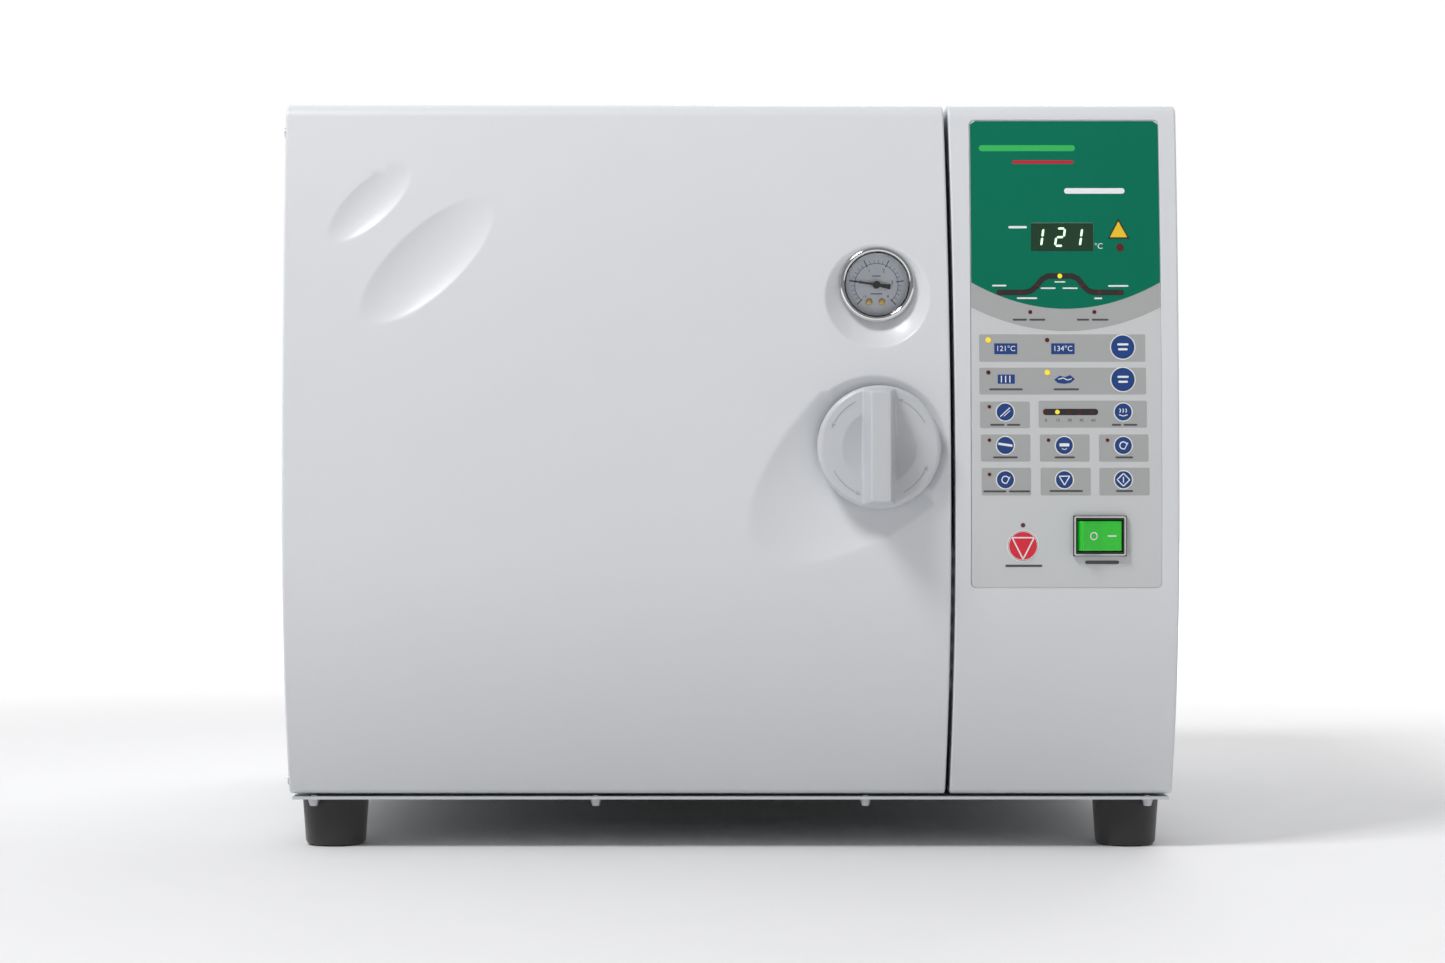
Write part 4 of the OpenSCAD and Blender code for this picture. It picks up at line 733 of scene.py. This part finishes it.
# pictograms on the keys, which move with them
for name, (kx, kz, kr) in KEYS.items():
    rad = RU if kz > BULGE else RL
    slope = (kz - BULGE) / math.sqrt(rad ** 2 - (kz - BULGE) ** 2)
    ic = Ink("icon_" + name, "key_%s_body" % name, "ink_white",
             lambda z, kz=kz, slope=slope: float(front_y(kz)) + slope * (z - kz) + 0.1,
             "key_red" if name == "emergency" else "key_blue")
    if name == "emergency":
        t = [(kx - 6.2, kz + 4.6), (kx + 6.2, kz + 4.6), (kx, kz - 7.6)]
        ic.line(t + t[:1], 0.75)
        ic.ring(kx, kz, kr - 0.35, kr)
    elif name == "stop":
        t = [(kx - 3, kz + 2), (kx + 3, kz + 2), (kx, kz - 3)]
        ic.line(t + t[:1], 0.6)
    elif name == "start":
        t = [(kx - 3.6, kz), (kx, kz + 3.6), (kx + 3.6, kz), (kx, kz - 3.6)]
        ic.line(t + t[:1], 0.6)
        ic.line([(kx, kz - 1.6), (kx, kz + 1.6)], 0.6)
    elif name == "dry_time":
        for dx in (-1.7, 0, 1.7):
            ic.line([(kx + dx - 0.3, kz + 1.9), (kx + dx + 0.3, kz + 0.8), (kx + dx - 0.3, kz - 0.3)], 0.5)
        ic.line([(kx - 2.4, kz - 1.6), (kx, kz - 2.3), (kx + 2.4, kz - 1.6)], 0.5)
    elif name == "steam_test":
        ic.line([(kx - 4.1, kz + 1.0), (kx + 4.0, kz - 0.2)], 1.3)
    elif name == "pump_test":
        ic.line([(kx - 2.8, kz - 2.6), (kx + 2.6, kz + 2.4)], 0.55)
        ic.line([(kx - 0.8, kz - 2.4), (kx + 2.7, kz + 0.8)], 0.4)
    elif name == "redry":
        ic.rect(kx - 2.8, kx + 2.8, kz - 0.6, kz + 1.2, 0.5)
        ic.line([(kx - 1.4, kz - 1.8), (kx, kz - 2.4), (kx + 1.4, kz - 1.8)], 0.4)
    elif name in ("long_cycle", "vacuum_release"):
        ic.ring(kx, kz, 1.7, 2.3, 20, 290)
        ic.line([(kx + 0.6, kz - 2.2), (kx + 2.6, kz + 1.6)], 0.5)
    else:
        for dz, w in ((1.5, 6.4), (-1.3, 5.4)):
            ic.rect(kx - w / 2, kx + w / 2, kz + dz - 0.6, kz + dz + 0.6, 0.5)
    ic.make()

# ---------- gauge dial print ----------
dial = Ink("dial_print", "door", "ink_blue_grey", lambda z: -263.56, "dial_white")
dial.ring(GX, GZ, 12.2, 12.6, -45, 225, 60)
dial_b = Ink("dial_print_dark", "door", "ink_dark", lambda z: -263.58, "dial_white")
for i in range(26):
    a = math.radians(225 - 270 * i / 25)
    big = i % 5 == 0
    ink = dial_b if big else dial
    r0, r1 = (11.4, 15.8) if big else (12.4, 14.4)
    ink.line([(GX + r0 * math.cos(a), GZ + r0 * math.sin(a)), (GX + r1 * math.cos(a), GZ + r1 * math.sin(a))],
             0.55 if big else 0.3)
    if big:
        dial_b.text(str(i // 5 - 1), GX + 9.2 * math.cos(a), GZ + 9.2 * math.sin(a), 2.9)
for x0, x1, dz in ((-3.4, 3.4, -5.0), (-2.4, 2.4, 5.2)):
    dial.rect(GX + x0, GX + x1, GZ + dz - 0.35, GZ + dz + 0.35, 0.3)
dial.make()
dial_b.make()
for i, (dx, dz) in enumerate([(-4.2, -9.6), (3.1, -9.6)]):
    v, f = lathe_y(rounded([(0.01, -264.5), (1.9, -264.5), (1.9, -263.5)], [0, 0.5, 0]), GX + dx, GZ + dz, 32)
    mesh("dial_screw_%d" % i, v, f, "door", "brass_fitting")

# ---------- power switch: pale lip, rocker marks ----------
lip_v, lip_f = [], []
outer = rrect(SX - 15, SX + 15, SZ - 11.5, SZ + 11.5, 1.2)
inner = rrect(SX - 13.8, SX + 13.8, SZ - 10.3, SZ + 10.3, 0.5)
for pts, y in ((outer, -279.6), (outer, -281.6), (rrect(SX - 14.6, SX + 14.6, SZ - 11.1, SZ + 11.1, 1.0), -282.05),
               (inner, -282.05), (inner, -281.0)):
    lip_v += [(x, y, z) for x, z in pts]
L = len(outer)
for a in range(4):
    for k in range(L):
        q = (k + 1) % L
        lip_f.append((a * L + k, a * L + q, (a + 1) * L + q, (a + 1) * L + k))
mesh("switch_lip", lip_v, lip_f, "cabinet", "black_plastic", "overlay_film")

rk = Ink("rocker_marks", "rocker", "ink_white", lambda z: 0.0, "rocker_green")
rk.ring(-4.8, 0, 1.7, 2.3)
rk.rect(3.4, 8.2, -0.35, 0.35)
co, si = math.cos(math.radians(10)), math.sin(math.radians(10))
for i, (x, _, z) in enumerate(rk.v):
    yy = -6.2 + 1.8 * (1 - abs(x) / 13.0) - 0.08
    rk.v[i] = (SX + x * co - yy * si, -278.5 + x * si + yy * co, SZ + z)
rk.make()


# ---------- knob marks ----------
def knob_arrows():
    ink = Ink("knob_marks", "latch", "ink_grey", lambda z: -290.07, "knob_white")
    for a0, a1 in ((28, 62), (118, 152), (208, 242), (298, 332)):
        ink.ring(KNOB_X, KNOB_Z, 28.6, 29.3, a0, a1, 20)
        e = math.radians(a1 + 3)
        c = (KNOB_X + 28.95 * math.cos(e), KNOB_Z + 28.95 * math.sin(e))
        t = (-math.sin(e), math.cos(e))
        rr = (math.cos(e), math.sin(e))
        ink.poly([(c[0] + t[0] * 2, c[1] + t[1] * 2), (c[0] - t[0] + rr[0] * 1.3, c[1] - t[1] + rr[1] * 1.3),
                  (c[0] - t[0] - rr[0] * 1.3, c[1] - t[1] - rr[1] * 1.3)])
    return ink.make()


knob_arrows()

# softened edges on moulded and cast parts that stay as they are in the frame
for n, vox in (("knob", 0.0006), ("power_rocker", 0.0003), ("drain_lever", 0.0004), ("filler_lid", 0.0007)):
    o = nodes[n]
    w = o.modifiers.new("weld", "WELD")
    w.merge_threshold = 0.00001
    r = o.modifiers.new("remesh", "REMESH")
    r.mode, r.voxel_size, r.use_smooth_shade = "VOXEL", vox, True
    s = o.modifiers.new("smooth", "SMOOTH")
    s.factor, s.iterations = 0.5, 4

# ---------- stage, light, camera ----------
floor = bpy.data.meshes.new("floor")
S = 9.0
floor.from_pydata([(-S, -S, 0), (S, -S, 0), (S, S, 0), (-S, S, 0)], [], [(0, 1, 2, 3)])
floor_o = bpy.data.objects.new("floor", floor)
floor_o.location = (0, 0, -0.0005)
bpy.context.scene.collection.objects.link(floor_o)
paper = material("floor_paper", (0.80, 0.80, 0.81), 0.8, vary=0.01, grain=40, bump=0.1)
pt = paper.node_tree
ptc = pt.nodes.new("ShaderNodeTexCoord")
dist = pt.nodes.new("ShaderNodeVectorMath")
dist.operation = "LENGTH"
pt.links.new(ptc.outputs["Object"], dist.inputs[0])
fade = pt.nodes.new("ShaderNodeMapRange")
fade.interpolation_type = "SMOOTHSTEP"
fade.inputs["From Min"].default_value = 0.7
fade.inputs["From Max"].default_value = 2.6
fade.inputs["To Max"].default_value = 0.75
pt.links.new(dist.outputs["Value"], fade.inputs["Value"])
pb = pt.nodes["Principled BSDF"]
pb.inputs["Emission Color"].default_value = (1, 1, 1, 1)
pt.links.new(fade.outputs[0], pb.inputs["Emission Strength"])
floor.materials.append(paper)

world = bpy.data.worlds.new("studio")
bpy.context.scene.world = world
world.use_nodes = True
wn = world.node_tree
bg = wn.nodes["Background"]
tc = wn.nodes.new("ShaderNodeTexCoord")
sep = wn.nodes.new("ShaderNodeSeparateXYZ")
wn.links.new(tc.outputs["Generated"], sep.inputs[0])
mr = wn.nodes.new("ShaderNodeMapRange")
mr.inputs["From Min"].default_value = -0.2
mr.inputs["From Max"].default_value = 0.6
mr.inputs["To Min"].default_value = 0.30
mr.inputs["To Max"].default_value = 1.0
wn.links.new(sep.outputs["Y"], mr.inputs["Value"])
wn.links.new(mr.outputs[0], bg.inputs["Strength"])
bg.inputs["Color"].default_value = (1, 1, 1, 1)


def area(name, loc, target, size, power):
    d = bpy.data.lights.new(name, "AREA")
    d.shape, d.size, d.energy = "SQUARE", size, power
    o = bpy.data.objects.new(name, d)
    o.location = loc
    o.rotation_euler = (Vector(target) - Vector(loc)).to_track_quat("-Z", "Y").to_euler()
    bpy.context.scene.collection.objects.link(o)


area("key", (-1.3, -1.5, 2.6), (0, -0.2, 0.2), 0.8, 56)
area("back_fill", (0.8, 2.4, 1.8), (0, 0, 0.2), 1.5, 25)

cam = bpy.data.objects.new("camera", bpy.data.cameras.new("camera"))
cam.data.lens, cam.data.sensor_width = 79.0, 36.0
cam.data.clip_start, cam.data.clip_end = 0.05, 60
cam.location = (-0.00466, -2.080, 0.2115)
cam.rotation_euler = (math.pi / 2, 0, 0)
bpy.context.scene.collection.objects.link(cam)
bpy.context.scene.camera = cam
bpy.context.scene.view_settings.view_transform = "Standard"
